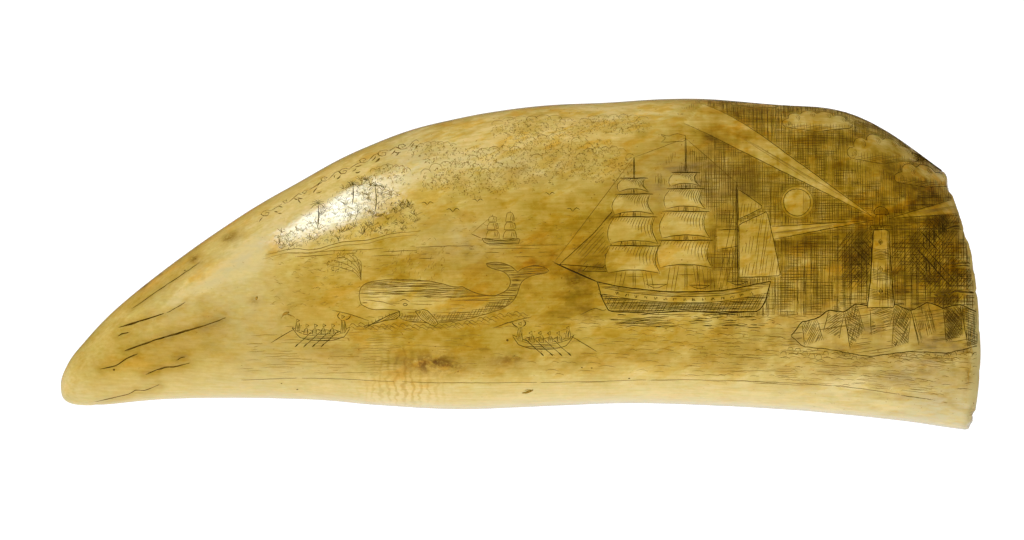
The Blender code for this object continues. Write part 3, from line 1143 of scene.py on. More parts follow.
def draw_sail(pen, at, middle, bottom, top, low_half, top_half):
    """A square sail filled from the right, with its seams drawn as shading."""

    def across(part, height):
        half = top_half + (low_half - top_half) * (1 - height)
        bulge = SAIL_BELLY * math.sin(math.pi * height)
        sag = 0.5 * (1 - height) * (1 - part**2)
        return (middle + part * half - bulge, bottom + (top - bottom) * height + sag)

    left = [across(-1, height) for height in (1, 0.66, 0.33, 0)]
    foot = [across(part, 0) for part in (-0.5, 0, 0.5)]
    right = [across(1, height) for height in (0, 0.33, 0.66, 1)]
    outline = at(left + foot + right)
    pen.line(outline[:4], HAIR)
    pen.line(outline[3:8])
    pen.line(outline[7:])
    pen.line(at([(middle - top_half - 0.5, top + 0.12), (middle + top_half + 0.5, top + 0.12)]), 0.2)
    for part in np.linspace(-0.85, 0.92, 14):
        reach = 0.15 + 0.75 * smooth_step(part, -0.6, 0.9) * pen.random.uniform(0.7, 1)
        seam = [across(part, height) for height in (1, 1 - reach / 2, 1 - reach)]
        pen.line(at(seam), HAIR, "brown" if part < 0.3 else "dark")
    pen.reserve(outline)
    pen.leave_bare(outline, 0.22)


def draw_ship(pen):
    """A bark under sail, with her boats, her wake and her reflection."""
    at = placed((30, -8.8), 1.13)
    sheer = smooth_curve([(-14.2, 4.9), (-9, 3.9), (-2, 3.3), (6, 3.5), (14, 5)])
    stern = [(13.4, 3.2), (13.1, 1.7), (12, 0.1)]
    keel = [(6, -0.2), (0, 0.15), (-6, -0.2)]
    stem = [(-12.2, 0.1), (-13.1, 1.6), (-13.7, 3.2)]

    def stay(*points):
        pen.line(at(points), HAIR, "brown", wobble=0.02)

    for lift, (mast, _) in zip((0, 0.9), SHIP_MASTS):
        for bottom, top, low_half, top_half in SQUARE_SAILS:
            draw_sail(pen, at, mast, bottom + lift, top + lift, low_half, top_half)
    spanker = [(8.8, 5.6), (8.8, 14.2), (13.4, 16.3), (15.6, 5.9)]
    topsail = [(8.7, 15), (8.6, 20), (12.8, 17)]
    for sail in (at(spanker), at(topsail)):
        pen.shape(sail, smooth=False, reserve=False)
        pen.hatch(sail, 82, 0.62, HAIR, "brown", keep=worn(1.8, 5, 0.35))
        pen.reserve(sail)
        pen.leave_bare(sail, 0.24)
    outer_jib = [(-20.3, 7.7), (-14.5, 13), (-9.4, 19.2), (-11.6, 12), (-13, 7.2)]
    inner_jib = [(-16.6, 6.6), (-12.6, 10.5), (-9.3, 14.6), (-10.6, 10), (-11.4, 6.6)]
    for sail in (at(outer_jib), at(inner_jib)):
        pen.shape(sail, smooth=False, reserve=False)
        pen.hatch(sail, 48, 0.6, HAIR, "brown", keep=worn(1.5, 8, 0.45))
        pen.reserve(sail)

    # The hull, with a painted band of ports and dark planking below it.
    band_top = sheer - (0, 0.75)
    band_low = sheer - (0, 1.75)
    for level in (band_top, band_low):
        pen.line(at(level[4:-4]), wobble=0.02)
    for x in np.arange(-11.2, 12, 1.55):
        y = height_on(sheer, x) - 1.5
        port = [(x, y), (x + 0.6, y), (x + 0.6, y + 0.5), (x, y + 0.5)]
        pen.hatch(at(port), 90, 0.12, FINE)
    below = at(np.vstack([band_low, stern[1:], keel, stem[:2]]))
    pen.hatch(below, 0, 0.24, FINE, uneven=0.1)
    pen.hatch(below, 62, 0.5)
    pen.hatch(at(np.vstack([sheer, band_top[::-1]])), 2, 0.25, HAIR, "brown")
    pen.shape(at(np.vstack([sheer, stern, keel, stem])), FIRM, smooth=False)
    for boat in (-4.6, 2.4, 8.6):
        low = height_on(sheer, boat) + 0.55
        pen.line(at([(boat - 1.7, low + 0.55), (boat, low - 0.1), (boat + 1.7, low + 0.55)]))
        pen.line(at([(boat - 1.7, low + 0.55), (boat + 1.7, low + 0.5)]))

    # Masts, shrouds, bowsprit and stays, which stop behind the sails.
    for mast, height in SHIP_MASTS:
        for side in (-1, 1):
            top = (mast + 0.07 * side, SHIP_DECK + height)
            pen.line(at([(mast + 0.17 * side, SHIP_DECK), top]), wobble=0.02)
        for share, spread in ((0.42, 1.9), (0.62, 2.4), (0.86, 3.2)):
            for foot in (mast - spread, mast + spread):
                stay((mast, SHIP_DECK + height * share), (foot, height_on(sheer, foot)))
        for step in np.arange(0.1, 0.4, 0.06):
            reach = 1.9 * (1 - step / 0.42)
            level = SHIP_DECK + height * step
            stay((mast - reach, level), (mast + reach, level))
    pen.line(at([(-13.8, 4.7), (-21.2, 8)]), 0.26, wobble=0.02)
    tops = [(mast, SHIP_DECK + height) for mast, height in SHIP_MASTS]
    stay((-21.2, 8), tops[0])
    stay((-17.5, 6.3), (-8.2, 18))
    stay(*tops[:2])
    stay(*tops[1:])
    stay(tops[2], (14, 5.2))
    flag = [(0.2, 28.6), (-1.2, 29), (-2.6, 28.5), (-4, 28.9)]
    flag += [(-2.9, 28.2), (-3.9, 27.6), (-2.4, 27.6), (0.2, 27.7)]
    pen.shape(at(flag), HAIR, smooth=False)

    shade = at([(-13.5, -0.3), (13.5, -0.3), (15, -2.6), (-10, -2.8)])
    pen.hatch(shade, 1, 0.33, FINE, keep=worn((2.2, 0.5), 12, 0.42), wobble=0.1)
    foam = [(-17, -0.5), (-14.6, 0.6), (-13, 0.2), (-12, 1), (-10.6, 0.1), (-8, 0.4), (-5, -0.2)]
    pen.line(at(foam), HAIR)


def draw_whale(pen):
    """A sperm whale under way to the left, spouting, with its jaw open and its flukes up."""
    centre = np.array([-14.5, -7])
    scale = 1.12
    at = placed(centre, scale)
    body = [
        (-13.3, -0.3), (-13.6, 1.2), (-12.9, 2.8), (-10.6, 3.5), (-6.5, 3.7), (-2, 3.4), (2.2, 2.5),
        (3.4, 2.6), (4.6, 1.9), (6.6, 1.2), (8.8, 1.1), (10.6, 2), (11.3, 3.5), (10.2, 4.9), (7.9, 5.6),
        (7.2, 6.3), (9.6, 6.5), (11.6, 5.7), (12.3, 4.9), (13.4, 5.6), (15.6, 6), (17.6, 5.2),
        (16.6, 4.7), (14.6, 4.3), (13, 3.2), (12.3, 1.2), (10.8, -0.5), (8, -1.7), (3.5, -2.9),
        (-1.5, -3.4), (-5.2, -3.2), (-7, -2.4), (-6.9, -1.4), (-9, -1.2), (-11.6, -1.2),
    ]
    jaw = [(-6.9, -1.5), (-9, -2.3), (-11.2, -3.4), (-12.6, -4.3), (-12.9, -4)]
    jaw += [(-11.6, -3.7), (-9.6, -3.1), (-7.2, -2.6)]
    for tooth in np.linspace(-12, -8.6, 7):
        y = np.interp(tooth, [-12.4, -8.2], [-3.9, -2.1])
        pen.line(at([(tooth, y), (tooth - 0.05, y + 0.5)]), HAIR, wobble=0)
    pen.hatch(at(jaw), 30, 0.3)
    pen.shape(at(jaw))
    pen.shape(at(ellipse((-6, -0.4), 0.36, 0.22)))
    pen.line(at([(-6.9, 0.2), (-6.1, 0.5), (-5.3, 0.1)]), HAIR)
    flipper = at([(-4.4, -1.5), (-3.2, -2.9), (-1.2, -3.9), (-0.6, -3.4), (-1.6, -2.2), (-2.8, -1.2)])
    pen.hatch(flipper, 55, 0.28)
    pen.shape(flipper)
    outline = smooth_curve(at(body), CURVE_STEPS)

    def height(xy):
        return (xy[:, 1] - centre[1]) / scale

    def bound(xy, places, heights):
        """How high up the body a region ends, along its length."""
        return np.interp((xy[:, 0] - centre[0]) / scale, places, heights)

    def back(xy):
        level = bound(xy, [-13, -6, 2, 8, 12], [2, 1.9, 1, 0, -2])
        return height(xy) > level - 0.9 * noise(xy, (2, 0.6), 16)

    def flank(xy):
        return height(xy) > 0.2 + 1.6 * noise(xy, (2, 0.8), 18)

    def belly(xy):
        level = bound(xy, [-8, -2, 6, 12], [-2.2, -2.4, -1.4, 1])
        return height(xy) < level + 0.9 * noise(xy, (2, 0.6), 17)

    pen.hatch(outline, 2, 0.36, HAIR, "brown", keep=back)
    pen.hatch(outline, -2, 0.40, THIN, "brown", keep=flank)
    pen.hatch(outline, 62, 0.44, HAIR, "brown", keep=belly)
    pen.hatch(outline, 3, 0.36, HAIR, "brown", keep=belly)
    pen.hatch(outline, 0, 0.75, HAIR, "faint", keep=worn((2, 0.8), 19, 0.4))
    pen.line(at([(-13, 0.4), (-10, 0.1), (-7.6, -0.6)]), HAIR, "brown")
    pen.shape(at(body), FINE, "brown")
    pen.leave_bare(outline, 0.12)

    # The spout leans forward, and water breaks round the body.
    blow = centre + (-14.8, 4)
    for reach, lift in ((-1.2, 4.6), (-2.4, 4.9), (-3.7, 4.6), (-4.8, 3.7), (-0.2, 3.9), (-5.4, 2.7)):
        tip = blow + (reach, lift)
        pen.line([blow, blow + (reach * 0.25, lift * 0.55), tip, tip + (-0.9, -0.5)], HAIR, "brown")
    pen.ticks(pen.scatter(blow + (-6.4, 1.5), blow + (0.5, 5.6), 60), 0.5, 60, 40, HAIR, "brown")
    for start in np.arange(-17, 15.5, 1.3):
        x = centre[0] + start + pen.random.uniform(-0.3, 0.3)
        y = centre[1] - 4.5 + 0.16 * max(start, 0) + pen.random.uniform(-0.2, 0.3)
        crest = np.array([(x, y), (x + 0.6, y + 0.5), (x + 1.2, y + 0.1), (x + 1.7, y - 0.15)])
        pen.line(crest, HAIR, "brown")
        pen.line(crest - (0.3, 0.5), THIN, "brown")


def draw_far_brig(pen):
    """A brig hull down on the horizon, with the horizon itself and gulls over it."""
    at = placed((-3.5, 3.6), 0.42)
    for mast, height in ((-4, 13), (3.6, 14.5)):
        for bottom, top, half in ((2.6, 6, 3.1), (6.4, 9.6, 2.6), (9.9, height - 0.8, 1.9)):
            head = half * 0.8
            sail = at([(mast - half, bottom), (mast - head, top), (mast + head, top), (mast + half, bottom)])
            middle = sail[:, 0].mean()
            pen.hatch(sail, 80, 0.34, HAIR, "brown", keep=lambda xy: xy[:, 0] > middle)
            pen.shape(sail, HAIR, "brown", smooth=False)
        pen.line(at([(mast, 1.6), (mast, height)]), FINE, "brown", wobble=0)
    hull = at([(-8.6, 2.6), (0, 1.7), (8.2, 2.8), (7.4, 0.2), (-7.2, 0.2)])
    pen.hatch(hull, 0, 0.2)
    pen.shape(hull, FINE, "brown", smooth=False)
    pen.line(at([(-8.4, 2.4), (-13.4, 4.6)]), FINE, "brown", wobble=0)
    pen.line(at([(-13.4, 4.6), (-4, 12.6)]), HAIR, "faint", wobble=0)
    for level, share in ((3.5, 0.25), (2.9, 0.5), (2.2, 0.6), (1.4, 0.62)):
        ends = [(-44 + 5 * share, level - 1.6), (-30, level - 0.9), (-12, level - 0.2), (10, level)]
        pen.line(ends, HAIR, "brown", keep=worn((2.2, 0.6), 27, share))
    gulls = ((-12.5, 9.5, 0.9), (-8, 11.4, 0.7), (-17.2, 10.8, 0.8), (5.2, 12.6, 0.7), (9.5, 9.6, 0.9))
    for x, y, size in gulls:
        pen.line([(x - 1.3 * size, y + 0.5 * size), (x - 0.6 * size, y + 0.7 * size), (x, y)], wobble=0)
        pen.line([(x, y), (x + 0.7 * size, y + 0.8 * size), (x + 1.4 * size, y + 0.4 * size)], wobble=0)


def draw_boat(pen, place, scale, facing):
    """A whaleboat, its oarsmen, the one who stands in the bow and the one who steers."""
    at = placed(place, scale, facing)
    for seat in np.linspace(-3.4, 2.2, 4):
        head = at(ellipse((seat + 0.2, 2.35), 0.42, 0.45))
        body = at([(seat - 0.55, 0.5), (seat - 0.35, 1.8), (seat + 0.35, 1.9), (seat + 0.6, 0.5)])
        pen.line(at([(seat + 0.4, 1.5), (seat + 1.4, 1.2)]))
        pen.hatch(body, 80, 0.24)
        pen.shape(head)
        pen.shape(body, HAIR, smooth=False)
        pen.line(at([(seat + 1.5, 1.3), (seat - 0.5, -0.6), (seat - 2.2, -2.1)]), wobble=0.02)
        pen.line(at([(seat - 1.7, -1.6), (seat - 2.4, -2.3)]), 0.24, wobble=0)
    bow = at([(4.1, 0.7), (4.3, 2.2), (4.2, 3.6), (4.9, 3.7), (5.2, 2.2), (5.3, 0.9)])
    pen.hatch(bow, 84, 0.24)
    pen.shape(at(ellipse((4.6, 4.25), 0.42, 0.47)))
    pen.shape(bow, HAIR, smooth=False)
    pen.line(at([(4.4, 3.5), (3.4, 4.3), (3.9, 5.2)]), FIRM)
    pen.line(at([(4.9, 3.4), (6, 4), (6.3, 4.6)]), FIRM)
    pen.line(at([(2.2, 5.7), (6.3, 4.7), (10.2, 3.4)]), wobble=0.02)
    pen.shape(at(ellipse((-5.2, 3.4), 0.4, 0.45)))
    helm = at([(-5.7, 1.3), (-5.5, 3), (-4.9, 3), (-4.6, 1.2)])
    pen.hatch(helm, 84, 0.24)
    pen.shape(helm, HAIR, smooth=False)
    pen.line(at([(-4.3, 2.4), (-7, 1), (-11, -1.4)]), wobble=0.02)
    top = smooth_curve([(-6.4, 1.9), (-3, 0.75), (0, 0.5), (3, 0.75), (6.4, 2.1)])
    hull = at(np.vstack([top, [(4.9, -0.1), (2.5, -0.85), (0, -1), (-2.5, -0.85), (-4.9, -0.2)]]))
    pen.line(at(top - (0, 0.45))[6:-6], HAIR, wobble=0.02)
    pen.hatch(hull, 1, 0.27, keep=lambda xy: xy[:, 1] < place[1] - 0.1 * scale)
    pen.shape(hull, smooth=False)


def draw_boats(pen):
    draw_boat(pen, (-36.6, -13.3), 0.85, 1)
    draw_boat(pen, (4, -14.8), 0.9, -1)


def draw_lighthouse(pen):
    """A lighthouse of stone courses, with its lantern and three beams."""
    middle = 66

    def around(*corners):
        """A shape that is the same on both sides of the tower's middle, from its left corners."""
        right = [(middle - x, y) for x, y in corners[::-1]]
        return np.array([(middle + x, y) for x, y in corners] + right)

    tower = around((-2.5, -8), (-2, -3), (-1.65, 2), (-1.4, 6.3))
    pen.line(ellipse((middle, 7.6), 0.35, 0.8), HAIR)
    for bar in (-0.75, -0.3, 0.3, 0.75):
        pen.line([(middle + bar, 7.1), (middle + bar, 9)], HAIR, wobble=0.01)
    pen.shape(around((-1.1, 7), (-1.1, 9.1)), smooth=False)
    dome = ellipse((middle, 9.1), 1.4, 1.5, 0, 180)
    pen.hatch(dome, 90, 0.24)
    pen.shape(dome, smooth=False)
    pen.line([(middle, 10.6), (middle, 12)], wobble=0)
    gallery = [(middle - 2.1, 6.3), (middle + 2.1, 6.3), (middle + 1.9, 7), (middle - 1.9, 7)]
    pen.hatch(gallery, 90, 0.3)
    pen.shape(gallery, smooth=False)
    for y in (4, -1, -5):
        arch = ellipse((middle - 0.1, y), 0.38, 0.55)
        pen.hatch(arch, 90, 0.14)
        pen.shape(arch, HAIR)
    for low in (-6.2, -2.6, 1.2):
        for step in np.arange(0, 1.9, 0.28):
            level = low + step
            half = 2.45 - 0.078 * (level + 8)
            course = [(middle - half, level), (middle, level - 0.35), (middle + half, level)]
            pen.line(course, HAIR, wobble=0.03)
    pen.hatch(tower, 91, 0.26, keep=lambda xy: xy[:, 0] - middle > 0.5 + 0.5 * noise(xy, 1, 23))
    pen.hatch(tower, 90, 0.5, HAIR, "brown", keep=worn((0.8, 3), 24, 0.55))
    pen.shape(tower, FIRM, smooth=False)
    pen.leave_bare(tower, 0.30)
    for beam in (
        [(64.6, 8.6), (33.5, 31.5), (30, 26)],
        [(64.6, 8), (36, 6.2), (36, 2.6)],
        [(67.3, 8.3), (85, 13.6), (85, 9.6)],
    ):
        lamp, one_end, other_end = np.array(beam)
        for end in (one_end, other_end):
            pen.line([lamp, end], wobble=0.03)
        for share in (0.3, 0.5, 0.7):
            end = one_end * share + other_end * (1 - share)
            start = lamp + (end - lamp) * pen.random.uniform(0.15, 0.4)
            way = (one_end + other_end) / 2 - start
            pen.line([start, start + way * 0.6], HAIR, "faint", wobble=0.03)
        pen.reserve(beam)
        pen.leave_bare(beam, 0.22)


def draw_rocks(pen):
    """Rocks under the lighthouse, hatched facet by facet, with waves at their foot."""
    outline = [
        (49.5, -13.2), (51.5, -10.6), (54.2, -10), (56.4, -8.4), (59.2, -8.9), (61.5, -7.2), (64, -7.7),
        (68.5, -7.4), (71.5, -8.6), (74.6, -6.9), (77.4, -8.2), (80.5, -7.4), (84.2, -9), (84.4, -14.8),
        (78, -16.4), (71, -16), (64, -17), (57.5, -15.8), (52, -15.2),
    ]
    facets = (
        ([(51.5, -10.6), (54.2, -10), (55.5, -14), (52, -15.2)], 64, 0.30),
        ([(56.4, -8.4), (59.2, -8.9), (58.4, -13.6), (55.4, -12.6)], 35, 0.34),
        ([(59.2, -8.9), (61.5, -7.2), (63, -12.2), (60.4, -15.6)], 78, 0.28),
        ([(64, -7.7), (68.5, -7.4), (67.6, -11.6), (64.2, -13)], 20, 0.34),
        ([(68.5, -7.4), (71.5, -8.6), (71, -14.6), (68, -15.4)], 66, 0.28),
        ([(71.5, -8.6), (74.6, -6.9), (76, -12.4), (73, -14.8)], 104, 0.32),
        ([(77.4, -8.2), (80.5, -7.4), (81, -13.2), (78, -14.4)], 60, 0.26),
        ([(80.5, -7.4), (84.2, -9), (84.4, -14.8), (82, -15.2)], 90, 0.28),
    )
    for facet, turn, gap in facets:
        pen.hatch(facet, turn, gap, keep=worn(1.2, 31, 0.2))
        if gap < 0.3:
            pen.hatch(facet, turn + 70, gap * 1.4)
        pen.line([facet[0], facet[3]])
        pen.line([facet[1], facet[2]], HAIR)
    pen.hatch(outline, 8, 0.55, HAIR, "brown", keep=worn((2.5, 1), 33, 0.45))
    pen.shape(outline, FIRM, smooth=False, wobble=0.08)
    for x in np.arange(47.5, 83, 1.3):
        y = -16.6 + 0.7 * math.sin(x * 0.8) + pen.random.uniform(-0.3, 0.3)
        pen.line([(x, y), (x + 0.5, y + 0.75), (x + 1.1, y + 0.55), (x + 1.2, y - 0.1)], HAIR)
        pen.line([(x + 0.2, y - 0.6), (x + 1, y - 0.3), (x + 1.9, y - 0.7)], HAIR, "brown")


# The sky: its patches are in the form of the ivory's own, and a cloud bank's change is 1.
STORM_PATCHES = (
    (62.5, 1, 5, 5, 0, 0.6),
    (77, 7, 6, 3.5, 20, 0.4),
    (74, 0, 7, 6, 0, 0.5),
    (80, -4, 5, 4, 80, 0.4),
)
GLOW_PATCHES = ((66, 18, 11, 5, 0, 0.45), (78, 19, 5, 4, 0, 0.40))
CLOUD_BANKS = (
    (-12, 15.5, 6, 3.2, 0, 1),
    (-3, 18, 6.5, 3.6, 0, 1),
    (6, 20, 7, 4, 0, 1),
    (15.5, 18.5, 5, 3.2, 0, 1),
    (-16, 21, 4, 1.8, 0, 1),
    (2, 26, 7, 2, 0, 1),
    (17, 26, 6, 2.4, 0, 1),
    (-24, 16.6, 3.5, 1.6, 0, 1),
)
MOON = (50.6, 11.3)
HEAPED_CLOUDS = (  # middle of the foot, half-width, height, lobes
    ((74.5, 15), 5.5, 3, 5),
    ((66.5, 19.5), 6, 4, 6),
    ((54.5, 25.5), 6, 3.6, 6),
    ((43, 31.5), 4, 2.4, 5),
)


def draw_night(pen):
    """The night sky: cross-hatching, closest in the storm clouds, with a moon left bare."""
    moon = ellipse(MOON, 2.5, 2.5)
    pen.hatch(moon, 90, 0.4, HAIR, "faint", keep=lambda xy: xy[:, 0] > MOON[0] + 1)
    pen.shape(moon)
    pen.leave_bare(moon, 0.26)
    pen.shape(ellipse(MOON, 3, 3), HAIR, "brown")
    region = [(21, -9.6), (84.9, -9.6), (84.9, 41), (21, 41)]

    def depth(xy):
        """How deep the sky is, from 0 at its ragged left edge, with a glow round the lighthouse."""
        x, y = xy.T
        lobes = 2.2 * np.sin(y * 0.42 + 1) + 1.2 * np.sin(y * 0.95)
        shift = 4.5 * smooth_step(y, 6, 14) * fall(y, 19, 25)
        left = smooth_step(x + shift + lobes + 6 * (noise(xy, 1.6, 41) - 0.5), 28, 40)
        return left * fall(y, 31, 38) - patches(x, y, GLOW_PATCHES)

    def drawn(share):
        """Keeps a line where the sky is deep enough, broken here and there."""
        return lambda xy: depth(xy) * (0.45 + 1.1 * noise(xy, (1.1, 1.1), 45)) > share

    def drawn_right(xy):
        return drawn(0.8)(xy) & (xy[:, 0] > 44 + 8 * noise(xy, 5, 47))

    def stormy(level):
        """Keeps a line in the storm clouds."""

        def keep(xy):
            storm = patches(xy[:, 0], xy[:, 1], STORM_PATCHES) + 0.5 * sway(xy, 5, 43, 3)
            return (storm > level) & (depth(xy) > 0.4)

        return keep

    for turn, gap, width, ink, keep in (
        (90, 0.44, THIN, "dark", drawn(0.62)),
        (90, 0.40, THIN, "brown", drawn(0.36)),
        (0, 0.50, THIN, "dark", drawn_right),
        (0, 0.50, THIN, "brown", drawn(0.66)),
        (52, 0.48, HAIR, "dark", stormy(0.26)),
        (-48, 0.50, HAIR, "dark", stormy(0.43)),
        (90, 0.34, FINE, "dark", stormy(0.57)),
    ):
        pen.hatch(region, turn, gap, width, ink, keep=keep)


def cloud_outline(place, half_x, half_y, lobes):
    """(outline, the middle and half-width of each lobe) of a cloud with a flat foot."""
    turns = np.radians(np.linspace(180, 0, lobes + 1))
    corners = np.stack([place[0] + half_x * np.cos(turns), place[1] + half_y * np.sin(turns)], axis=1)
    outline, heaps = [], []
    for a, b in zip(corners, corners[1:]):
        middle, half = (a + b) / 2, np.linalg.norm(b - a) / 2
        start = math.degrees(math.atan2(*(a - middle)[::-1]))
        outline.append(ellipse(middle, half, half, start, start - 180, 9)[:-1])
        heaps.append((middle, half))
    foot = [corners[-1], (place[0], place[1] - half_y * 0.3)]
    return np.vstack([*outline, foot]), heaps


def draw_heaped_clouds(pen):
    """Moonlit clouds over the lighthouse, left pale against the hatched sky."""
    for place, half_x, half_y, lobes in HEAPED_CLOUDS:
        outline, heaps = cloud_outline(place, half_x, half_y, lobes)
        for middle, half in heaps:
            for inset, ink in ((0.72, "dark"), (0.5, "brown"), (0.3, "brown")):
                arc = ellipse(middle + (0, -0.1 * half), half * inset, half * inset, 70, -50, 8)
                pen.line(arc, THIN, ink, wobble=0.02)
        for turn, gap, ink, rise in ((12, 0.42, "dark", 0.5), (90, 0.55, "brown", 1.1)):
            pen.hatch(outline, turn, gap, THIN, ink, keep=lambda xy, top=place[1] + rise: xy[:, 1] < top)
        pen.shape(outline, smooth=False)
        pen.leave_bare(outline, 0.16)


def draw_clouds(pen):
    """Banks of cloud, stippled with tiny curls."""
    for x, y, half_x, half_y, _, _ in CLOUD_BANKS:
        for lobe in np.linspace(-0.9, 0.9, 7):
            centre = (x + lobe * half_x, y + half_y * 0.75 * math.sqrt(1 - lobe**2))
            size = half_x * pen.random.uniform(0.14, 0.2)
            start, end = pen.random.uniform(-10, 30), pen.random.uniform(160, 230)
            arc = ellipse(centre, size, size * 0.9, start, end, 10)
            pen.line(arc, HAIR, "faint" if pen.random.random() < 0.6 else "brown", wobble=0.03)

    def within(xy):
        return patches(xy[:, 0], xy[:, 1], CLOUD_BANKS) + 0.5 * noise(xy, 1.5, 51) > 0.62

    for count, length, ink in ((3600, 0.42, "faint"), (1500, 0.40, "brown")):
        pen.ticks(pen.scatter((-30, 10), (24, 30), count, within), length, 35, 60, HAIR, ink, bend=0.4)


def draw_headland(pen):
    """A wooded headland, drawn in tufts, with a low shore line."""
    shore = np.array([(-47, 1.6), (-42, 2.8), (-38, 2.6), (-33, 4), (-28, 4.4), (-23.5, 5.6), (-18.5, 6)])
    pen.line(shore, FINE, "brown")
    pen.line(shore - (0.5, 0.7), HAIR, "faint")

    def wooded(xy):
        ridge = np.interp(xy[:, 0], [-45, -40, -34, -29, -24, -19], [4.4, 7.6, 12.4, 15.6, 13.6, 9.6])
        low = np.interp(xy[:, 0], [-47, -18.5], [2, 6.4])
        return (xy[:, 1] < ridge + 1.2 * noise(xy, 1.6, 61)) & (xy[:, 1] > low)

    for start in pen.scatter((-45, 2), (-19, 17.5), 170, wooded):
        ink = "dark" if pen.random.random() < 0.5 else "brown"
        for turn in np.linspace(35, 145, 4):
            size = pen.random.uniform(0.6, 1.5)
            tip = angled(turn + pen.random.normal(0, 10)) * size
            pen.line([start, start + tip * 0.5 + (0, 0.08), start + tip], THIN, ink, wobble=0)
    pen.ticks(pen.scatter((-45, 2), (-19, 17.5), 1500, wooded), 0.5, 70, 50, 0.065, "dark", bend=0.5)
    for x, y, height in ((-37.4, 9, 4.2), (-31, 12.8, 3.6), (-26.8, 12, 4.6)):
        crown = np.array((x + 0.1, y + height * 0.5))
        pen.line([(x, y - height * 0.6), (x + 0.25, y), crown], FIRM)
        for turn in np.linspace(-20, 200, 9):
            way = angled(turn)
            pen.line([crown, crown + way * 0.8, crown + way * 1.4 - (0, 0.5)], HAIR, wobble=0)


VINE_STEP = 3.6


def draw_scroll(pen):
    """A running vine along the convex edge, of curls and leaves."""

    def vine_y(x):
        return height_on(UPPER_EDGE, x) - 2 + 0.4 * math.sin(x)

    turn = np.linspace(0, 3.2 * np.pi, 26)
    for number, x in enumerate(np.arange(-47, -21, VINE_STEP)):
        size = pen.random.uniform(0.75, 1.25)
        flip = 1 - 2 * (number % 2)
        y, next_y = vine_y(x), vine_y(x + VINE_STEP)
        angle = turn + math.radians(35 - (x + 47) * 0.6)
        radius = size * (1 - turn / turn[-1] * 0.8)
        curl = np.stack([x + radius * np.cos(angle), y + flip * radius * np.sin(angle) * 0.8], axis=1)
        pen.line(curl, FIRM, "brown", smooth=False)
        pen.line([curl[0], (x + 2.3, y + 1.4), (x + VINE_STEP - 0.6, next_y - 0.5)], FIRM, "brown")
        leaves = np.array([(x + 1.9, y + 0.1), (x - 0.9, y - 1.3), (x + 2.6, y - 0.4)])
        pen.ticks(leaves, 1, 20, 40, 0.24, "brown")


def draw_sea(pen):
    """Rows of short waves, closer together and darker towards the root."""
    y = -9.8
    while y > -24.5:
        gap = 0.62 + 0.02 * (-9.8 - y)
        x = -30 + pen.random.uniform(0, 2)
        while x < 84:
            length = pen.random.uniform(1, 3.2)
            dense = 0.22 + 0.5 * smooth_step(x, -10, 40) - 0.2 * smooth_step(-y, 14, 21)
            if pen.random.random() < dense and y > height_on(LOWER_EDGE, x) + 5.2:
                rise = pen.random.uniform(0.08, 0.3)
                height = y + pen.random.uniform(-0.2, 0.2)
                ink = "dark" if pen.random.random() < 0.5 * smooth_step(x, 10, 60) else "brown"
                if x < -5 or pen.random.random() < 0.45:
                    ink = "faint"
                wave = [(x, height), (x + length * 0.4, height + rise), (x + length, height - rise * 0.3)]
                pen.line(wave, THIN, ink, wobble=0.03)
            x += length * pen.random.uniform(0.6, 1.1) + 0.25
        y -= gap


def draw_plain_lines(pen):
    """The faint level lines and small ticks over the bare water near the tip."""
    for y in np.arange(-20.2, -11.6, 0.5):
        start = -52 + 1.2 * (y + 20) / 8 + pen.random.uniform(0, 2)
        row = [(start, y), (-42, y + 0.25), (-34, y + 0.15), (-22, y + 0.3)]
        pen.line(row, THIN, "faint", wobble=0.08, keep=worn((3, 0.8), 71, 0.52))
    for low, high, count, length, turn, spread in (
        ((-46, -8), (-20, 1.5), 150, 0.8, 8, 18),
        ((-25, -6), (-14, 2.5), 90, 0.7, 70, 10),
        ((-20, 1), (22, 9), 150, 0.7, 10, 25),
    ):
        pen.ticks(pen.scatter(low, high, count), length, turn, spread, THIN, "faint")


def draw_swell(pen):
    """Long worn lines over the pale water in front of the rocks."""
    for row, y in enumerate(np.arange(-22, -13, 0.42)):
        start = pen.random.uniform(30, 52)
        end = pen.random.uniform(75, 82)
        ink = "brown" if row % 3 == 0 else "faint"
        swell = [(start, y), (60, y - 0.5), (70, y - 1.2), (end, y - 2.3)]
        pen.line(swell, THIN, ink, wobble=0.09, keep=worn((3.2, 0.6), 72, 0.50))


def draw_border(pen):
    """A single ruled line under the picture, doubled for a short way."""
    border = [(-51.5, -21.5), (-38.5, -21.1), (-18.8, -21.8), (8, -21.9)]
    border += [(30, -21.5), (55.4, -22.3), (71.3, -24.3), (84.2, -27)]
    pen.line(border, HAIR, "brown", wobble=0.04, keep=worn(2, 81, 0.12), ends=0.8)
    pen.line(np.array(border[3:6]) - (0, 0.25), HAIR, "faint", keep=worn(3, 83, 0.5))


def draw_cracks(pen):
    """The age cracks: ragged lines of dirt, each with a softer brown line beside it."""
    for width, crack in TIP_CRACKS + ROOT_CRACKS:
        path = evenly(smooth_curve(crack, CURVE_STEPS), 0.4)
        path = path + 0.22 * (np.stack([noise(path, 0.8, 88), noise(path, 0.8, 89)], axis=1) - 0.5)
        ends = 0.6 if crack[0][0] > 0 else 0.12
        pen.line(path, width * 0.70, "crack", smooth=False, wobble=0.03, ends=ends, uneven=0.5)
        shift = pen.random.uniform(0.05, 0.12)
        pen.line(np.array(crack) + (0, shift), width * 0.5, "brown", ends=0.2)
    for _, crack in ROOT_CRACKS:
        pen.reserve(np.vstack([np.array(crack) + (0, 0.3), np.array(crack)[::-1] - (0, 0.3)]))


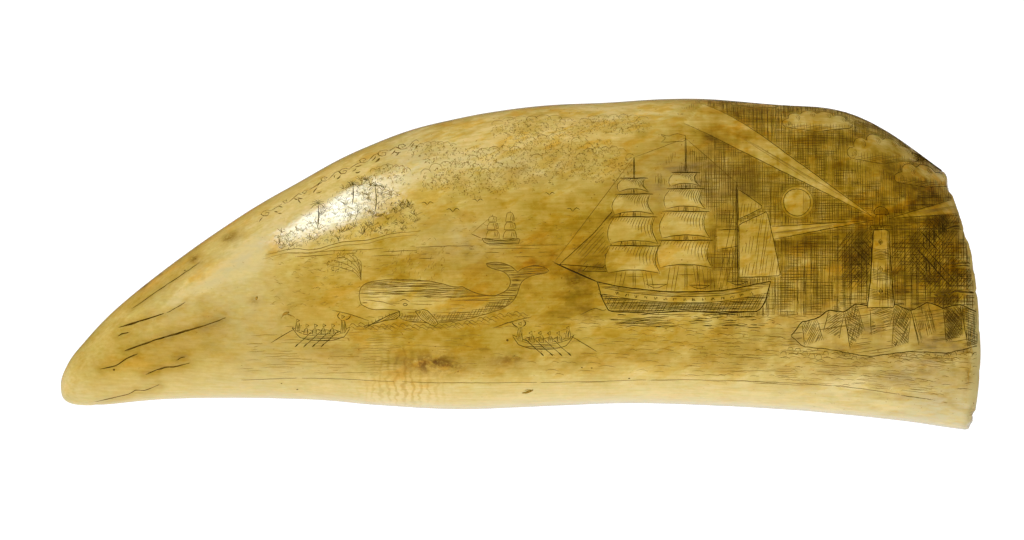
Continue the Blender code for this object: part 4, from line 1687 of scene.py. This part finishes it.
PITS = (  # place and size
    (-75, -19.5, 0.28), (76, -25.3, 0.2), (13, -19.1, 0.22), (11.2, -19, 0.22), (19.9, -21.2, 0.25),
    (-41.2, -23.8, 0.28), (-44.1, -22.3, 0.2), (-2.5, -14, 0.3), (1.4, -13.8, 0.2), (-60, 1.4, 0.2),
    (-62, -0.8, 0.22),
)
FLECKS = (  # place, length, turn in degrees and width
    (-43.2, -9.2, 1.5, 25, 0.5),
    (-42.2, -9.6, 1.4, -20, 0.3),
    (-48.5, -6.3, 0.8, 70, 0.5),
    (-12, -20, 0.7, 30, 0.2),
    (-1, -17.3, 1.6, 10, 0.3),
    (1.5, -13.7, 0.7, 0, 0.3),
)


def draw_spots(pen):
    """Small brown flecks: pits filled with dirt, and one oval blemish near the concave edge."""
    reserved, pen.reserved = pen.reserved, []
    pen.line([(0.2, -24.4), (0.9, -24.35), (1.6, -24), (2.25, -23.6)], 0.62, "spot", wobble=0, ends=0.4)
    pen.line([(0.7, -23.7), (1.3, -23.6), (1.9, -23.6)], 0.30, "spot", wobble=0)
    flaked = [(82.9, -11.5), (82.5, -14.5), (82.7, -17.5), (82.2, -20.5), (82.3, -23), (81.6, -25.8)]
    pen.line(flaked, FINE, "spot", wobble=0.14, keep=worn((1, 1.4), 85, 0.42))
    pen.line([(-44.1, -10), (-43.2, -9.1), (-42.4, -9.3), (-41.6, -9.8)], FINE, "brown")
    for x, y, size in PITS:
        pit = [(x - size * 0.7, y - size * 0.1), (x, y), (x + size * 0.7, y + size * 0.15)]
        pen.line(pit, size * 1.4, "brown", wobble=0)
    pen.reserved = reserved


def draw_dirt(pen):
    """Brown flecks that lie between the lines of the picture."""
    for x, y, length, turn, width in FLECKS:
        half = length / 2 * angled(turn)
        fleck = [(x, y) - half, (x, y + 0.15), (x, y) + half]
        pen.line(fleck, width, "spot", wobble=0.08, ends=0.2, uneven=0.4)


def draw_picture():
    """Draws everything, and what stands in front first."""
    pen = Engraver()
    for subject, draw in (
        ("cracks", draw_cracks),
        ("flecks", draw_spots),
        ("boats", draw_boats),
        ("whale", draw_whale),
        ("ship", draw_ship),
        ("horizon", draw_far_brig),
        ("lighthouse", draw_lighthouse),
        ("rocks", draw_rocks),
        ("heaped_clouds", draw_heaped_clouds),
        ("night", draw_night),
        ("clouds", draw_clouds),
        ("headland", draw_headland),
        ("scroll", draw_scroll),
        ("sea", draw_sea),
        ("water", draw_plain_lines),
        ("border", draw_border),
        ("sea", draw_swell),
        ("flecks", draw_dirt),
    ):
        pen.subject = subject
        draw(pen)
    return pen


# ---------------------------------------------------------------- stage

FRAME_WIDTH = 0.189  # the width that the picture frame covers at the tooth's middle height
FRAME_CENTRE = (-0.0015, -0.0011)
LENS = 500.0  # a long lens from far off, so that the near side looks no bigger than the far side
SENSOR = 36.0


def make_camera():
    data = bpy.data.cameras.new("camera")
    data.lens = LENS
    data.sensor_width = SENSOR
    camera = bpy.data.objects.new("camera", data)
    height = (CAD_LOW.z + CAD_HIGH.z) / 2 + FRAME_WIDTH * LENS / SENSOR
    camera.location = (*FRAME_CENTRE, height)
    bpy.context.scene.collection.objects.link(camera)
    bpy.context.scene.camera = camera


def area_light(name, place, target, size, power, turn=0.0, diffuse=True, glossy=True):
    data = bpy.data.lights.new(name, "AREA")
    data.shape = "RECTANGLE"
    data.size, data.size_y = size
    data.energy = power
    light = bpy.data.objects.new(name, data)
    light.location = place
    direction = np.array(target) - np.array(place)
    aim = Vector(direction).to_track_quat("-Z", "Y")
    light.rotation_euler = (aim @ Quaternion((0, 0, 1), turn)).to_euler()
    light.visible_diffuse = diffuse
    light.visible_glossy = glossy
    bpy.context.scene.collection.objects.link(light)
    return light


def make_world():
    """A pale room, bright low down on the side of the concave edge and dark overhead."""
    world = bpy.data.worlds.new("room")
    bpy.context.scene.world = world
    nodes = Nodes(world)
    split = nodes.add("SeparateXYZ", Vector=nodes.add("TexCoord").outputs["Generated"])
    limits = {"From_Min": -0.4, "From_Max": 0.3, "To_Min": 0.95, "To_Max": 0.10}
    side = nodes.add("MapRange", Value=split.outputs["Y"], **limits)
    nodes.fill(
        nodes.tree.nodes["Background"],
        Color=nodes.ramp(split.outputs["Z"], (0.3, (1.0, 1.0, 1.0)), (0.7, (0.1, 0.1, 0.1))),
        Strength=side.outputs["Result"],
    )


def make_floor():
    bpy.ops.mesh.primitive_plane_add(size=6.0, location=(0, 0, 0))
    floor = bpy.context.object
    floor.name = "floor"
    white = {"Emission_Color": (1.0, 1.0, 1.0), "Emission_Strength": 1.0}
    floor.data.materials.append(matt_material("white_floor", (0.25, 0.25, 0.25), 0.9, **white))
    floor.visible_glossy = False


def make_lights():
    """A softbox over the convex edge near the tip with the glints that it makes, and two fills."""
    belly = (-0.035, 0.01, 0.03)
    area_light("softbox", (-0.446, 0.576, 0.418), belly, (0.3, 0.3), 4.1, glossy=False)
    for name, place, size, power in (
        ("glint", (-0.450, 0.573, 0.418), (0.106, 0.56), 5.9),
        ("glint_side", (-0.371, 0.648, 0.390), (0.050, 0.40), 0.45),
    ):
        glint = area_light(name, place, belly, size, power, turn=-0.23, diffuse=False)
        glint.data.color = (0.72, 0.88, 1.0)
    area_light("overhead", (0.0, -0.3, 1.2), (0, 0, 0), (0.9, 0.9), 11.6, glossy=False)
    area_light("low_fill", (0.1, -0.8, 0.35), (0, 0, 0.01), (0.9, 0.4), 2.0, glossy=False)


# ---------------------------------------------------------------- the whole

SHEET_POINTS, SHEET_NORMALS, SHEET_HELD, SHEET_Y_AT = lay_sheet()


def main():
    bpy.context.scene.view_settings.view_transform = "Standard"
    pen = draw_picture()
    tooth, points, depth = make_tooth()
    colour_tooth(tooth, points, depth, pen.bare)
    tooth.data.materials.append(ivory_material())
    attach(tooth, "root")
    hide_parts(TOOTH)
    for piece in pen.pieces():
        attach(piece, "root")
    make_floor()
    make_lights()
    make_world()
    make_camera()


main()
